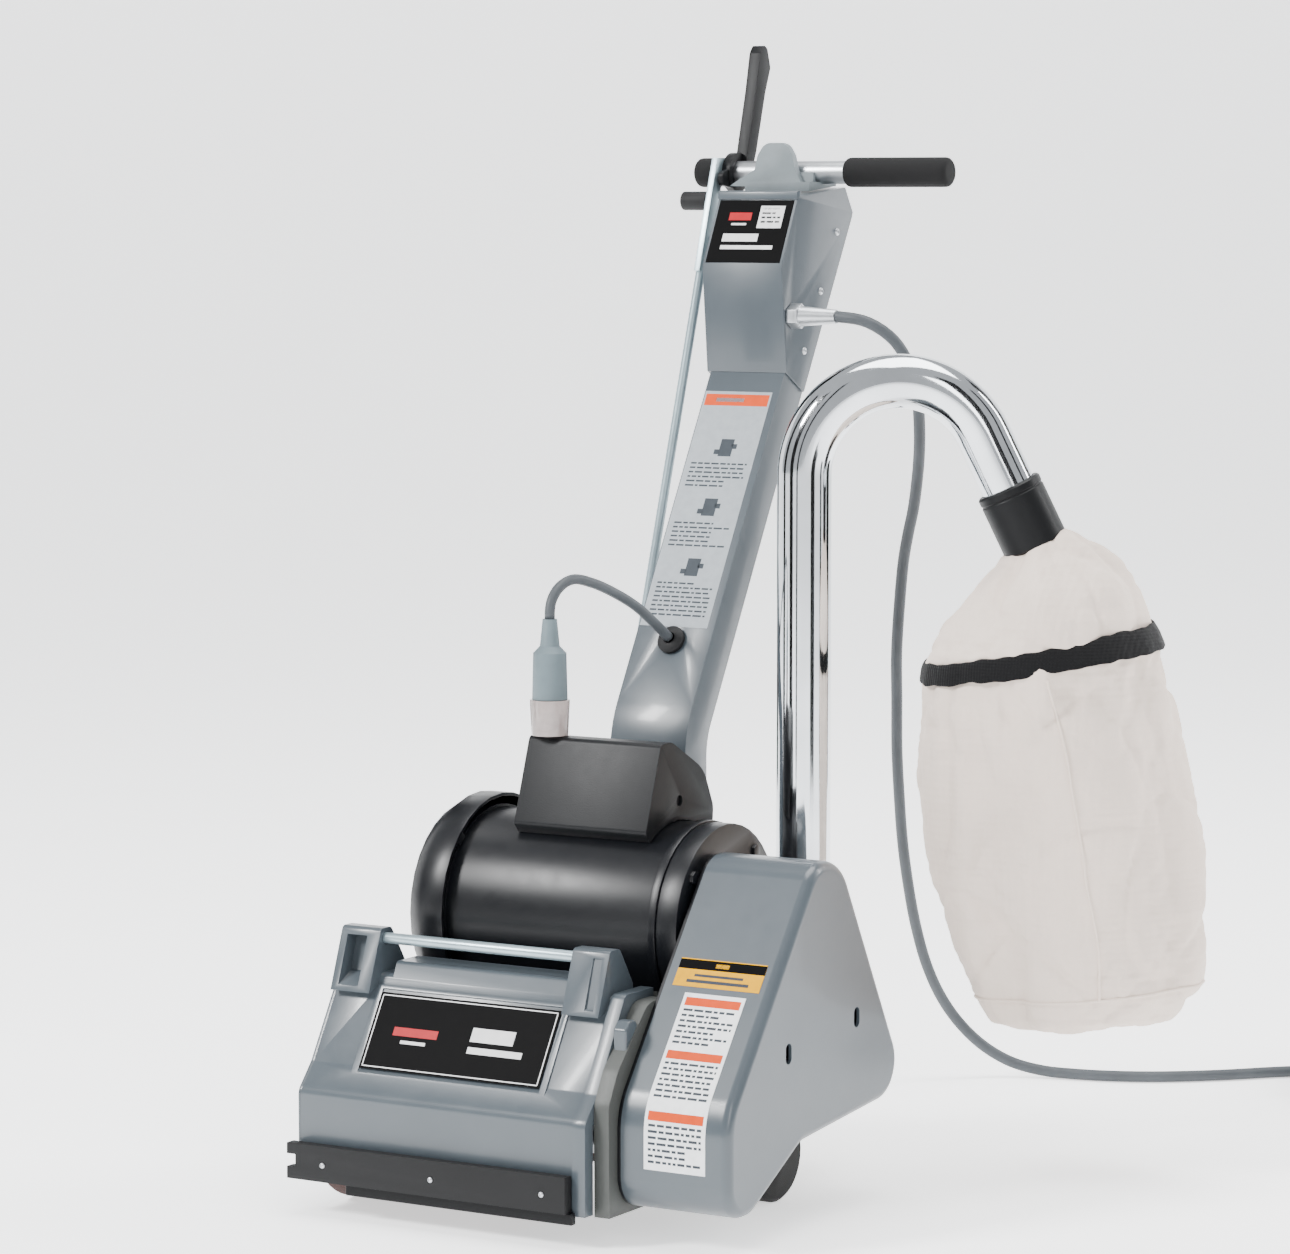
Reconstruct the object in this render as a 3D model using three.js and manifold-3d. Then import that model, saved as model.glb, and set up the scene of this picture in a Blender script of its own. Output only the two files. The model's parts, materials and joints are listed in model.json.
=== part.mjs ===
// Walk-behind floor drum sander: belt-driven expansion drum, motor on top, lift lever,
// dust pipe with a cloth bag, mains cord. Millimetres, +Z up, -Y front, +Y operator side.
// Every piece is placed from the middle of the drum's width; the whole part is then moved so that
// its origin is on the floor under the middle of everything but the mains cord.
import * as THREE from 'three';
import { mergeVertices } from 'three/addons/utils/BufferGeometryUtils.js';
import Module from 'manifold-3d';

const wasm = await Module();
wasm.setup();

// ---- driving dimensions ----------------------------------------------------------------
const ORIGIN = { x: 200, y: 223.35 };
const GAP = 0.3;                          // between touching pieces
const DRUM = { r: 76.2, y: -8, z: 76.2, half: 101.6 };   // abrasive surface, 8 in wide
const MOTOR = { r: 88, y: 128, z: 250, left: -48, right: 178 };
const FAN = { r: 47, y: 200, z: 128, left: 120, right: 187 };
const LEFT = -107;                        // left end of the drum housing
const PLATE = [188.3, 203];                // thick right wall that holds the drum shaft
const DECK = [138, 144];                  // height range of the deck under the motor
const WALL = 4;
const GUARD = [207, 313];                 // belt guard, from its open side to its outer side
const PULLEYS = [222, 278];
const PULLEY_R = { drum: 27, motor: 22, fan: 20 };
const WHEEL = { r: 42, y: 155, z: 42, width: 25 };
const CARRIAGE = { y: 114, z: 96 };       // pivot of the wheel carriage
const CASTER = { r: 28, x: 58, y: 315, trail: 20 };
const COLUMN = { x: [18, 98], y: 226, z: 403.8, lean: THREE.MathUtils.degToRad(29.8), depth: 39, length: 369 };
const BOX = { x: [14, 99.5] };            // control box on top of the column
const BAR = { r: 11, y: 498.6, z: 911, x: [-44, 222] };
const GRIP = { r: 14, length: 110 };
const ROD = { x: -14.5, r: 4.5, y: 347, z: 512, slope: 0.323, bottom: 112, top: 925 };
const PIPE = { x: 191, y: 280, r: 24.6, wall: 1.6, bottom: 112, straight: 638, bend: 85 };
const HOOK_TURN = THREE.MathUtils.degToRad(30);      // bend plane, from +X towards +Y
const HOOK_LEAN = THREE.MathUtils.degToRad(25.5);    // of the pipe's end leg
const LEG = { length: 91, collar: 60, bare: 51 };
const CORD = { r: 5.5, floor: 5.8 };
const LEAD_R = 5;
const COIL = { x: 532.5, y: 931, mid: 90, half: 22.5, height: 44.5 };

// ---- materials -------------------------------------------------------------------------
function finish(color, roughness, metalness = 0) {
  return new THREE.MeshStandardMaterial({ color, roughness, metalness });
}
const PAINT = finish(0x717d87, 0.42, 0.2);
const BLACK_PAINT = finish(0x15161a, 0.3, 0.2);
const PLASTIC = finish(0x1a1b1e, 0.5);
const RUBBER = finish(0x191919, 0.8);
const TREAD = finish(0x222222, 0.85);
const STEEL = finish(0xa6abb0, 0.4, 1);
const CHROME = finish(0xd8dde2, 0.12, 1);
const CAST = finish(0x6d747b, 0.6, 0.6);
const ABRASIVE = finish(0x6b3527, 0.95);
const CLOTH = finish(0xe6dcd6, 0.9);
const BAND = finish(0x131315, 0.85);
const CORD_SKIN = finish(0x5d6266, 0.6);
const CLEAR = finish(0xcfc2c0, 0.2);
const GREY_PLASTIC = finish(0x6b7478, 0.55);

// ---- geometry helpers ------------------------------------------------------------------
function toManifold(geometry) {
  const plain = geometry.clone();
  plain.deleteAttribute('normal');
  plain.deleteAttribute('uv');
  const merged = mergeVertices(plain, 1e-4);
  const mesh = new wasm.Mesh({
    numProp: 3,
    vertProperties: Float32Array.from(merged.attributes.position.array),
    triVerts: Uint32Array.from(merged.index.array),
  });
  return new wasm.Manifold(mesh);
}

function toGeometry(manifold) {
  const mesh = manifold.getMesh();
  const geometry = new THREE.BufferGeometry();
  geometry.setAttribute('position', new THREE.BufferAttribute(mesh.vertProperties, 3));
  geometry.setIndex(new THREE.BufferAttribute(mesh.triVerts, 1));
  geometry.computeVertexNormals();
  return geometry;
}

function join(...solids) {
  return toGeometry(solids.map(toManifold).reduce((a, b) => a.add(b)));
}

function cut(solid, ...tools) {
  return toGeometry(tools.map(toManifold).reduce((a, b) => a.subtract(b), toManifold(solid)));
}

function block(x, y, z) {
  const geometry = new THREE.BoxGeometry(x[1] - x[0], y[1] - y[0], z[1] - z[0]);
  return geometry.translate((x[0] + x[1]) / 2, (y[0] + y[1]) / 2, (z[0] + z[1]) / 2);
}

// A round bar along X from x[0] to x[1].
function roundX(x, y, z, r, sides = 32) {
  const geometry = new THREE.CylinderGeometry(r, r, x[1] - x[0], sides);
  return geometry.rotateZ(-Math.PI / 2).translate((x[0] + x[1]) / 2, y, z);
}

// A round bar along Z; r2 is the upper radius of a tapered one.
function roundZ(x, y, z, r, r2 = r, sides = 32) {
  const geometry = new THREE.CylinderGeometry(r2, r, z[1] - z[0], sides);
  return geometry.rotateX(Math.PI / 2).translate(x, y, (z[0] + z[1]) / 2);
}

// A closed shape through corners [a, b, fillet radius].
function roundedShape(corners) {
  const shape = new THREE.Shape();
  corners.forEach(([a, b, r = 0], i) => {
    const here = new THREE.Vector2(a, b);
    const before = new THREE.Vector2(...corners.at(i - 1)).sub(here).normalize();
    const after = new THREE.Vector2(...corners[(i + 1) % corners.length]).sub(here).normalize();
    if (r <= 0) {
      shape[i ? 'lineTo' : 'moveTo'](a, b);
      return;
    }
    const half = Math.acos(THREE.MathUtils.clamp(before.dot(after), -1, 1)) / 2;
    const start = before.clone().multiplyScalar(r / Math.tan(half)).add(here);
    const end = after.clone().multiplyScalar(r / Math.tan(half)).add(here);
    const centre = before.clone().add(after).setLength(r / Math.sin(half)).add(here);
    shape[i ? 'lineTo' : 'moveTo'](start.x, start.y);
    shape.absarc(centre.x, centre.y, r, start.clone().sub(centre).angle(), end.clone().sub(centre).angle(),
      before.cross(after) > 0);
  });
  return shape;
}

// Moves each edge of a counter-clockwise outline inwards by t.
function inset(corners, t) {
  return corners.map(([a, b, r = 0], i) => {
    const [pa, pb] = corners.at(i - 1);
    const [na, nb] = corners[(i + 1) % corners.length];
    const first = new THREE.Vector2(a - pa, b - pb).normalize();
    const second = new THREE.Vector2(na - a, nb - b).normalize();
    const turn = first.cross(second);
    const move = new THREE.Vector2(second.x - first.x, second.y - first.y).multiplyScalar(t / turn);
    const radius = r > 0 ? Math.max(r - t * Math.sign(turn), 0.5) : 0;
    return [a + move.x, b + move.y, radius];
  });
}

const FACING_X = new THREE.Matrix4().makeBasis(
  new THREE.Vector3(0, 1, 0), new THREE.Vector3(0, 0, 1), new THREE.Vector3(1, 0, 0));
const FACING_Y = new THREE.Matrix4().makeBasis(
  new THREE.Vector3(1, 0, 0), new THREE.Vector3(0, 0, 1), new THREE.Vector3(0, -1, 0));

function extrude(shape, depth, segments) {
  return new THREE.ExtrudeGeometry(shape, { depth, bevelEnabled: false, curveSegments: segments });
}

// A plate across X with an outline of [y, z, fillet] corners.
function plateX(x, corners, segments = 3) {
  return extrude(roundedShape(corners), x[1] - x[0], segments).applyMatrix4(FACING_X).translate(x[0], 0, 0);
}

// A plate across Y with an outline of [x, z, fillet] corners.
function plateY(y, corners, segments = 3) {
  return extrude(roundedShape(corners), y[1] - y[0], segments).applyMatrix4(FACING_Y).translate(0, y[1], 0);
}

// A tube or bar of radius r along a curve.
function alongCurve(curve, r, steps, sides = 10) {
  const section = new THREE.Shape();
  for (let i = 0; i < sides; i += 1) {
    const angle = (i / sides) * 2 * Math.PI;
    section[i ? 'lineTo' : 'moveTo'](r * Math.cos(angle), r * Math.sin(angle));
  }
  return new THREE.ExtrudeGeometry(section, { steps, bevelEnabled: false, extrudePath: curve });
}

// A closed skin over rings of points, all rings with the same count, from the first to the last.
function loft(rings) {
  const count = rings[0].length;
  const points = rings.flat();
  const index = [];
  for (let k = 0; k + 1 < rings.length; k += 1) {
    for (let i = 0; i < count; i += 1) {
      const a = k * count + i;
      const b = k * count + ((i + 1) % count);
      index.push(a, b, a + count, b, b + count, a + count);
    }
  }
  const ends = [[0, 1], [rings.length - 1, -1]];
  for (const [k, side] of ends) {
    const middle = rings[k].reduce((sum, p) => sum.add(p), new THREE.Vector3()).divideScalar(count);
    points.push(middle);
    for (let i = 0; i < count; i += 1) {
      const a = k * count + i;
      const b = k * count + ((i + 1) % count);
      index.push(...(side > 0 ? [points.length - 1, b, a] : [points.length - 1, a, b]));
    }
  }
  const geometry = new THREE.BufferGeometry().setFromPoints(points);
  geometry.setIndex(index);
  geometry.computeVertexNormals();
  return geometry;
}

// ---- the part --------------------------------------------------------------------------
const sander = new THREE.Group();

function add(name, geometry, material) {
  const mesh = new THREE.Mesh(geometry, material);
  mesh.name = name;
  sander.add(mesh);
}

const DOOR_HINGE = { x: LEFT - 6, y: 104 };

// -- chassis: right wall, rear wall of the drum chamber, deck, tail and caster beam
const RIGHT_WALL = [
  [-78, 26], [104, 26, 10], [112, 60], [236, 60, 20], [236, 144], [60, 144, 10],
  [20, 202, 12], [-14, 202, 22], [-64, 150, 30], [-79, 122, 20],
];

// The fixed pin of the drum door and the seats that hold it.
function makeHingeParts() {
  const pin = roundZ(DOOR_HINGE.x, DOOR_HINGE.y, [38, 130], 3, 3, 16);
  const seats = [36, 132].map((z) => roundZ(DOOR_HINGE.x, DOOR_HINGE.y, [z - 4, z + 4], 5.5, 5.5, 20));
  const tabs = [36, 132].map((z) =>
    block([DOOR_HINGE.x, LEFT + 2], [DOOR_HINGE.y - 2, DOOR_HINGE.y + 2], [z - 4, z + 4]));
  return [pin, ...seats, ...tabs];
}

const BROW = [[20.4, 196], [58, DECK[0]], [104, DECK[0]], [104, DECK[1]], [62, DECK[1]], [23, 205]];
const LUG = [[100, 84], [114, 84, 8], [124, 96, 8], [124, 140], [100, 140]];
function makeChassis() {
  const wall = plateX(PLATE, RIGHT_WALL);
  const chamber = block([LEFT, PLATE[0] + 2], [98, 104], [30, DECK[1]]);
  const brow = plateX([LEFT, PLATE[0] + 2], BROW);
  const deck = block([LEFT, PLATE[0] + 2], [98, 249], DECK);
  const tail = block([-20, 139], [245, 345], DECK);
  const leftSkirt = block([LEFT, LEFT + 6], [98, 249], [70, DECK[1]]);
  const ribs = [-20, 52, 133].map((x) => block([x, x + 6], [104, 150], [120, DECK[0] + 1]));
  const lugs = [-74, 160].map((x) => plateX([x, x + 8], LUG));
  const pivot = roundX([-76, 170], CARRIAGE.y, CARRIAGE.z, 6, 20);
  return cut(
    join(wall, chamber, brow, deck, tail, leftSkirt, ...ribs, ...lugs, pivot, ...makeHingeParts()),
    roundX([PLATE[0] - 1, PLATE[1] + 1], DRUM.y, DRUM.z, 26.3),
    roundX([PLATE[0] - 1, PLATE[1] + 1], FAN.y, FAN.z, 14),
    block([114, PLATE[0]], [147, 250], [DECK[0] - 1, DECK[1] + 1]),
    block([40, 160], [97, 105], [54, 92]),
    roundZ(ROD.x, ROD.y + ROD.slope * (DECK[0] - ROD.z), [DECK[0] - 1, DECK[1] + 1], 11, 11, 20),
  );
}
add('chassis', makeChassis(), CAST);

// -- front cover with its two ears, the handle between them, badge and lower strip
const COVER = [[-90, 28], [20, 28], [20, 206], [-24, 206, 8], [-70, 130, 14], [-90, 108, 12]];
const COVER_X = [LEFT, PLATE[0] - GAP];
const EAR = [[-44, 190], [14, 206], [14, 212], [-8, 245, 5], [-24, 245, 5]];
const EARS = [[-107, -66], [134, 171]];
const EAR_POCKETS = [[-100, -79], [156, 165]];
const POCKET = [[-60, 186], [-22, 205], [-12, 238], [-44, 238]];
const HANDLE = { y: -17, z: 236, r: 5 };

function makeFrontCover() {
  const openBelow = (outline) => outline.map(([y, z, r], i) => [i === 1 || i === 2 ? 25 : y, i < 2 ? 20 : z, r]);
  const raised = COVER.map(([y, z, r], i) => [y - (i > 2 || i === 0 ? 3 : 0), z + (i > 1 && i < 4 ? 3 : 0), r]);
  const shell = cut(plateX(COVER_X, COVER), plateX([COVER_X[0] - 1, COVER_X[1] + 1], openBelow(inset(COVER, WALL))));
  const flange = cut(
    plateX([COVER_X[1] - 13, COVER_X[1]], raised),
    plateX([COVER_X[1] - 14, COVER_X[1] + 1], openBelow(inset(COVER, WALL + 6))),
  );
  const ledge = plateX([-52, EARS[1][0] + 1], [[-27, 200], [16, 200], [16, 217, 4], [-20, 217, 5]]);
  const ears = EARS.map((x, i) => cut(plateX(x, EAR), plateX(EAR_POCKETS[i], POCKET)));
  const frame = plateX([-64, 136], [[-72, 122], [-28, 194], [-31, 197], [-76, 123]]);
  const chest = cut(frame, plateX([-58, 130], [[-78, 128], [-36, 198], [-31, 192], [-70, 124]]));
  return join(shell, flange, ledge, ...ears, chest);
}
add('front_cover', makeFrontCover(), PAINT);
add('lift_handle', roundX([EARS[0][1] + GAP, EARS[1][0] - GAP], HANDLE.y, HANDLE.z, HANDLE.r, 20), STEEL);

const STRIP = { x: [-113, COVER_X[1] - 13 - GAP], y: [-104, -93.3], z: [31, 63] };
function makeStrip() {
  const notch = block([STRIP.x[0] - 1, STRIP.x[0] + 9], [STRIP.y[0] - 1, STRIP.y[1] + 1], [42, 53]);
  return cut(block(STRIP.x, STRIP.y, STRIP.z), notch);
}
add('front_strip', makeStrip(), RUBBER);

// -- drum with its sleeve, shaft, bearings and pulley
const DRUM_X = [-DRUM.half, DRUM.half];
function ringX(x, y, z, outer, inner, sides = 48) {
  return cut(roundX(x, y, z, outer, sides), roundX([x[0] - 1, x[1] + 1], y, z, inner, sides));
}
add('abrasive_sleeve', ringX(DRUM_X, DRUM.y, DRUM.z, DRUM.r, DRUM.r - 1.3), ABRASIVE);

function makeDrum() {
  const slots = [0, 1, 2, 3, 4, 5].map((i) => {
    const slot = block([-DRUM.half - 1, -DRUM.half + 18], [-3, 3], [40, 66]);
    return slot.rotateX((i * Math.PI) / 3).translate(0, DRUM.y, DRUM.z);
  });
  const core = roundX(DRUM_X, DRUM.y, DRUM.z, DRUM.r - 1.7, 48);
  const recess = roundX([-DRUM.half - 1, -DRUM.half + 12], DRUM.y, DRUM.z, 36);
  const bore = roundX([DRUM_X[0] - 1, DRUM_X[1] + 1], DRUM.y, DRUM.z, 12.3, 24);
  return cut(core, recess, bore, ...slots);
}
add('drum', makeDrum(), RUBBER);
add('drum_shaft', join(
  roundX([-DRUM.half + 2, PULLEYS[1] + 6], DRUM.y, DRUM.z, 12, 24),
  roundX([-DRUM.half + 2, -DRUM.half + 11.6], DRUM.y, DRUM.z, 22, 6),
), STEEL);
add('drum_bearing', ringX([PLATE[0] + 1, PLATE[1] - 1], DRUM.y, DRUM.z, 26, 12.4, 32), STEEL);

// A V-belt pulley with grooves at the given X places.
const GROOVE = 5;
function makePulley(x, y, z, r, grooves, bore) {
  const profile = [new THREE.Vector2(0, x[0]), new THREE.Vector2(r, x[0])];
  for (const place of grooves) {
    profile.push(new THREE.Vector2(r, place - 6));
    profile.push(new THREE.Vector2(r - GROOVE, place - 4));
    profile.push(new THREE.Vector2(r - GROOVE, place + 4));
    profile.push(new THREE.Vector2(r, place + 6));
  }
  profile.push(new THREE.Vector2(r, x[1]), new THREE.Vector2(0, x[1]));
  const wheel = new THREE.LatheGeometry(profile, 24).rotateZ(-Math.PI / 2).translate(0, y, z);
  return cut(wheel, roundX([x[0] - 1, x[1] + 1], y, z, bore, 16));
}
const DRIVE_X = 237;
const FAN_X = 263;
add('drum_pulley', makePulley([PULLEYS[0], 252], DRUM.y, DRUM.z, PULLEY_R.drum, [DRIVE_X], 12.3), CAST);

// -- motor: body, fan cap, end bell, foot, shaft, pulley and wiring box
add('motor_body', join(
  roundX([MOTOR.left, MOTOR.right], MOTOR.y, MOTOR.z, MOTOR.r, 40),
  roundX([MOTOR.left, MOTOR.left + 8], MOTOR.y, MOTOR.z, MOTOR.r + 2.5, 40),
  roundX([MOTOR.right - 8, MOTOR.right], MOTOR.y, MOTOR.z, MOTOR.r + 2.5, 40),
), BLACK_PAINT);

function makeFanCap() {
  const profile = [[0, -83], [62, -83], [90, -77], [101, -60], [101, -36], [98, -36], [98, -59],
    [88, -74], [62, -79.5], [0, -79.5]].map(([r, x]) => new THREE.Vector2(r, x));
  const cap = new THREE.LatheGeometry(profile, 32).rotateZ(-Math.PI / 2).translate(0, MOTOR.y, MOTOR.z);
  const slots = [-2, -1, 0, 1, 2].map((i) =>
    block([-90, -70], [MOTOR.y - 40, MOTOR.y + 40], [MOTOR.z + i * 17 - 3, MOTOR.z + i * 17 + 3]));
  const tabs = [1, 3, 5, 7].map((i) => {
    const tab = block([-47, -37], [-6, 6], [MOTOR.r + 2.9, 100]);
    return tab.rotateX((i * Math.PI) / 4).translate(0, MOTOR.y, MOTOR.z);
  });
  return join(cut(cap, ...slots), ...tabs);
}
add('motor_fan_cap', makeFanCap(), BLACK_PAINT);

function makeEndBell() {
  const bell = roundX([MOTOR.right + GAP, MOTOR.right + 21], MOTOR.y, MOTOR.z, MOTOR.r + 1, 40);
  const boss = roundX([MOTOR.right + 20, PLATE[1] - 1.5], MOTOR.y, MOTOR.z, 46);
  const bolts = [1, 3, 5, 7].map((i) => {
    const angle = (i * Math.PI) / 4 + 0.1;
    const at = MOTOR.r - 11;
    const [y, z] = [MOTOR.y + at * Math.cos(angle), MOTOR.z + at * Math.sin(angle)];
    return roundX([MOTOR.right + 20, MOTOR.right + 24], y, z, 6, 6);
  });
  return cut(join(bell, boss, ...bolts), roundX([MOTOR.right - 1, PLATE[1]], MOTOR.y, MOTOR.z, 10.3, 24));
}
add('motor_end_bell', makeEndBell(), BLACK_PAINT);

function makeMotorFoot() {
  const base = block([-24, 112], [74, 186], [DECK[1] + GAP, DECK[1] + 8]);
  const saddles = [-14, 74].map((x) => block([x, x + 28], [84, 172], [DECK[1] + 7, 210]));
  return cut(join(base, ...saddles), roundX([-30, 170], MOTOR.y, MOTOR.z, MOTOR.r + 1, 40));
}
add('motor_foot', makeMotorFoot(), BLACK_PAINT);

const MOTOR_SHAFT_X = [MOTOR.right + GAP, PULLEYS[1] + 4];
add('motor_shaft', roundX(MOTOR_SHAFT_X, MOTOR.y, MOTOR.z, 10, 24), STEEL);
add('motor_pulley', makePulley(PULLEYS, MOTOR.y, MOTOR.z, PULLEY_R.motor, [DRIVE_X, FAN_X], 10.3), CAST);

const WIRING = [
  [82, 300], [186, 296], [190, 345, 16], [173, 380, 40], [116, 410, 20], [98, 409, 6], [72, 333, 5], [82, 322],
];
const WIRING_X = [12, 149];
function makeWiringBox() {
  const housing = plateX(WIRING_X, WIRING);
  const cylinder = roundX([WIRING_X[0] - 1, WIRING_X[1] + 1], MOTOR.y, MOTOR.z, MOTOR.r + 1, 40);
  const knockout = roundX([WIRING_X[1] - 3, WIRING_X[1] + 1], 130, 356, 5, 20);
  return cut(housing, cylinder, knockout);
}
add('motor_wiring_box', makeWiringBox(), PLASTIC);

// -- fan that draws the dust, its housing, shaft and pulley, and the socket of the dust pipe
function makeFanHousing() {
  const shell = roundX([FAN.left, FAN.right], FAN.y, FAN.z, FAN.r, 40);
  const mouth = block([FAN.left, FAN.right], [FAN.y, 249.5], [FAN.z, FAN.z + FAN.r]);
  const inside = roundX([FAN.left - 1, FAN.right - 3], FAN.y, FAN.z, FAN.r - 3, 40);
  const duct = block([FAN.left + 3, FAN.right - 3], [FAN.y, 252], [FAN.z + 5, FAN.z + FAN.r - 3]);
  return cut(join(shell, mouth), inside, duct, roundX([FAN.right - 5, FAN.right + 1], FAN.y, FAN.z, 11, 24));
}
add('fan_housing', makeFanHousing(), CAST);

function makeFanWheel() {
  const disc = roundX([FAN.right - 10, FAN.right - 7], FAN.y, FAN.z, 41, 40);
  const hub = roundX([FAN.left + 12, FAN.right - 8], FAN.y, FAN.z, 13, 24);
  const blades = [0, 1, 2, 3, 4, 5, 6, 7].map((i) => {
    const blade = block([FAN.left + 14, FAN.right - 9], [-1.2, 1.2], [11, 40]);
    return blade.rotateX((i * Math.PI) / 4).translate(0, FAN.y, FAN.z);
  });
  return cut(join(disc, hub, ...blades), roundX([FAN.left, FAN.right], FAN.y, FAN.z, 8.3, 24));
}
add('fan_wheel', makeFanWheel(), STEEL);
add('fan_shaft', roundX([FAN.left + 12, PULLEYS[1] + 4], FAN.y, FAN.z, 8, 24), STEEL);
add('fan_pulley', makePulley([250, PULLEYS[1]], FAN.y, FAN.z, PULLEY_R.fan, [FAN_X], 8.3), CAST);

function makePipeSocket() {
  const body = block([139.4, 222], [250, 311], [98, 176]);
  const neck = roundZ(PIPE.x, PIPE.y, [175, 200], 31);
  const bore = roundZ(PIPE.x, PIPE.y, [PIPE.bottom - GAP, 201], PIPE.r + GAP, PIPE.r + GAP, 32);
  const chamber = block([143, 190], [249, 290], [104, 172]);
  return cut(join(body, neck), bore, chamber);
}
add('pipe_socket', makePipeSocket(), CAST);

// -- V-belts round two pulleys
function tangentLoop(a, b, extra) {
  const along = new THREE.Vector2(b.y - a.y, b.z - a.z);
  const heading = along.angle();
  const spread = Math.acos((a.r - b.r) / along.length());
  const shape = new THREE.Shape();
  shape.absarc(b.y, b.z, b.r + extra, heading - spread, heading + spread, false);
  shape.absarc(a.y, a.z, a.r + extra, heading + spread, heading - spread + 2 * Math.PI, false);
  return shape;
}

function makeBelt(x, a, b) {
  const outer = extrude(tangentLoop(a, b, 5.6), x[1] - x[0], 14);
  const inner = extrude(tangentLoop(a, b, 0.6), x[1] - x[0] + 2, 14).translate(0, 0, -1);
  return cut(outer, inner).applyMatrix4(FACING_X).translate(x[0], 0, 0);
}
const groove = (wheel, r) => ({ y: wheel.y, z: wheel.z, r: r - GROOVE });
const MOTOR_GROOVE = groove(MOTOR, PULLEY_R.motor);
const BELT_HALF = 3.6;
add('drive_belt', makeBelt([DRIVE_X - BELT_HALF, DRIVE_X + BELT_HALF], groove(DRUM, PULLEY_R.drum), MOTOR_GROOVE), RUBBER);
add('fan_belt', makeBelt([FAN_X - BELT_HALF, FAN_X + BELT_HALF], MOTOR_GROOVE, groove(FAN, PULLEY_R.fan)), RUBBER);

// -- belt guard and its back plate
const GUARD_LINE = [
  [-66, 31, 30], [-24, 31, 28], [63, 78, 40], [258, 95, 34], [132, 317, 46], [84, 317, 34], [-66, 120, 60],
];
function makeGuard() {
  const body = plateX(GUARD, GUARD_LINE, 5);
  const hollow = plateX([GUARD[0] - 1, GUARD[1] - WALL], inset(GUARD_LINE, WALL), 5);
  const slots = [[158, 173], [36, 160]].map(([y, z]) => {
    const outline = [[y - 5, z - 9, 4.5], [y + 5, z - 9, 4.5], [y + 5, z + 9, 4.5], [y - 5, z + 9, 4.5]];
    return plateX([GUARD[1] - WALL - 1, GUARD[1] + 1], outline);
  });
  return cut(body, hollow, ...slots);
}
add('belt_guard', makeGuard(), PAINT);
add('guard_back_plate', cut(
  plateX([PLATE[1] + GAP, GUARD[0] - GAP], inset(GUARD_LINE, 1), 5),
  ...[[DRUM, 14], [MOTOR, 14], [FAN, 14]].map(([at, r]) => roundX([PLATE[1], GUARD[0]], at.y, at.z, r, 24)),
), BLACK_PAINT);

// -- wheel carriage: pivot, frame, axle and two wheels, and the rear caster
const ARM = [
  [103, 96, 11], [114, 107, 10], [126, 104, 8], [166, 52, 10], [166, 32, 11], [144, 32, 11], [144, 52, 8], [106, 86, 10],
];
function makeCarriage() {
  const arms = [-64, 148].map((x) => plateX([x, x + 8], ARM));
  const bar = block([-60, 152], [128, 142], [56, 72]);
  const earY = ROD.y + ROD.slope * (ROD.bottom - ROD.z);
  const earTop = ROD.bottom - 1.5;
  const ear = plateX([ROD.x - 6, ROD.x + 6],
    [[128, 58], [146, 58], [earY + 10, 96, 6], [earY + 10, earTop, 4], [earY - 10, earTop, 4], [128, 72]]);
  return cut(
    join(...arms, bar, ear),
    roundX([-70, 160], CARRIAGE.y, CARRIAGE.z, 6.4, 20),
    roundX([-70, 160], WHEEL.y, WHEEL.z, 8.3, 20),
  );
}
add('wheel_carriage', makeCarriage(), STEEL);
add('wheel_axle', roundX([-104, 241], WHEEL.y, WHEEL.z, 8, 20), STEEL);

function makeWheel(x, y, z, r, hubRadius, bore) {
  const profile = [[0, x[0]], [r - 4, x[0]], [r, x[0] + 4], [r, x[1] - 4], [r - 4, x[1]], [0, x[1]]];
  const tyre = new THREE.LatheGeometry(profile.map(([a, b]) => new THREE.Vector2(a, b)), 32);
  const hub = roundX([x[0] - 1.5, x[1] + 1.5], y, z, hubRadius, 16);
  return cut(join(tyre.rotateZ(-Math.PI / 2).translate(0, y, z), hub), roundX([x[0] - 3, x[1] + 3], y, z, bore, 16));
}
add('wheel_left', makeWheel([-100, -100 + WHEEL.width], WHEEL.y, WHEEL.z, WHEEL.r, 14, 8.5), TREAD);
add('wheel_right', makeWheel([213, 213 + WHEEL.width], WHEEL.y, WHEEL.z, WHEEL.r, 14, 8.5), TREAD);

const CASTER_AXLE = { y: CASTER.y + CASTER.trail, z: CASTER.r };
function makeCasterFork() {
  const crown = roundZ(CASTER.x, CASTER.y, [66, 78], 20);
  const stem = roundZ(CASTER.x, CASTER.y, [77, 136], 8);
  const cheek = [[CASTER.y - 16, 68], [CASTER.y + 16, 68], [CASTER_AXLE.y + 8, 20, 7], [CASTER_AXLE.y - 8, 20, 7]];
  const sides = [-18, 14].map((x) => plateX([CASTER.x + x, CASTER.x + x + 4], cheek));
  return join(crown, stem, ...sides, roundX([CASTER.x - 20, CASTER.x + 20], CASTER_AXLE.y, CASTER_AXLE.z, 4, 16));
}
add('caster_fork', makeCasterFork(), STEEL);
add('caster_plate', cut(
  join(block([CASTER.x - 30, CASTER.x + 30], [CASTER.y - 28, CASTER.y + 28], [131, DECK[0] - GAP]),
    roundZ(CASTER.x, CASTER.y, [79, 132], 16)),
  roundZ(CASTER.x, CASTER.y, [78, DECK[0]], 8.5),
), STEEL);
add('caster_wheel', makeWheel([CASTER.x - 11, CASTER.x + 11], CASTER_AXLE.y, CASTER_AXLE.z, CASTER.r, 9, 4.4), TREAD);

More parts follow.
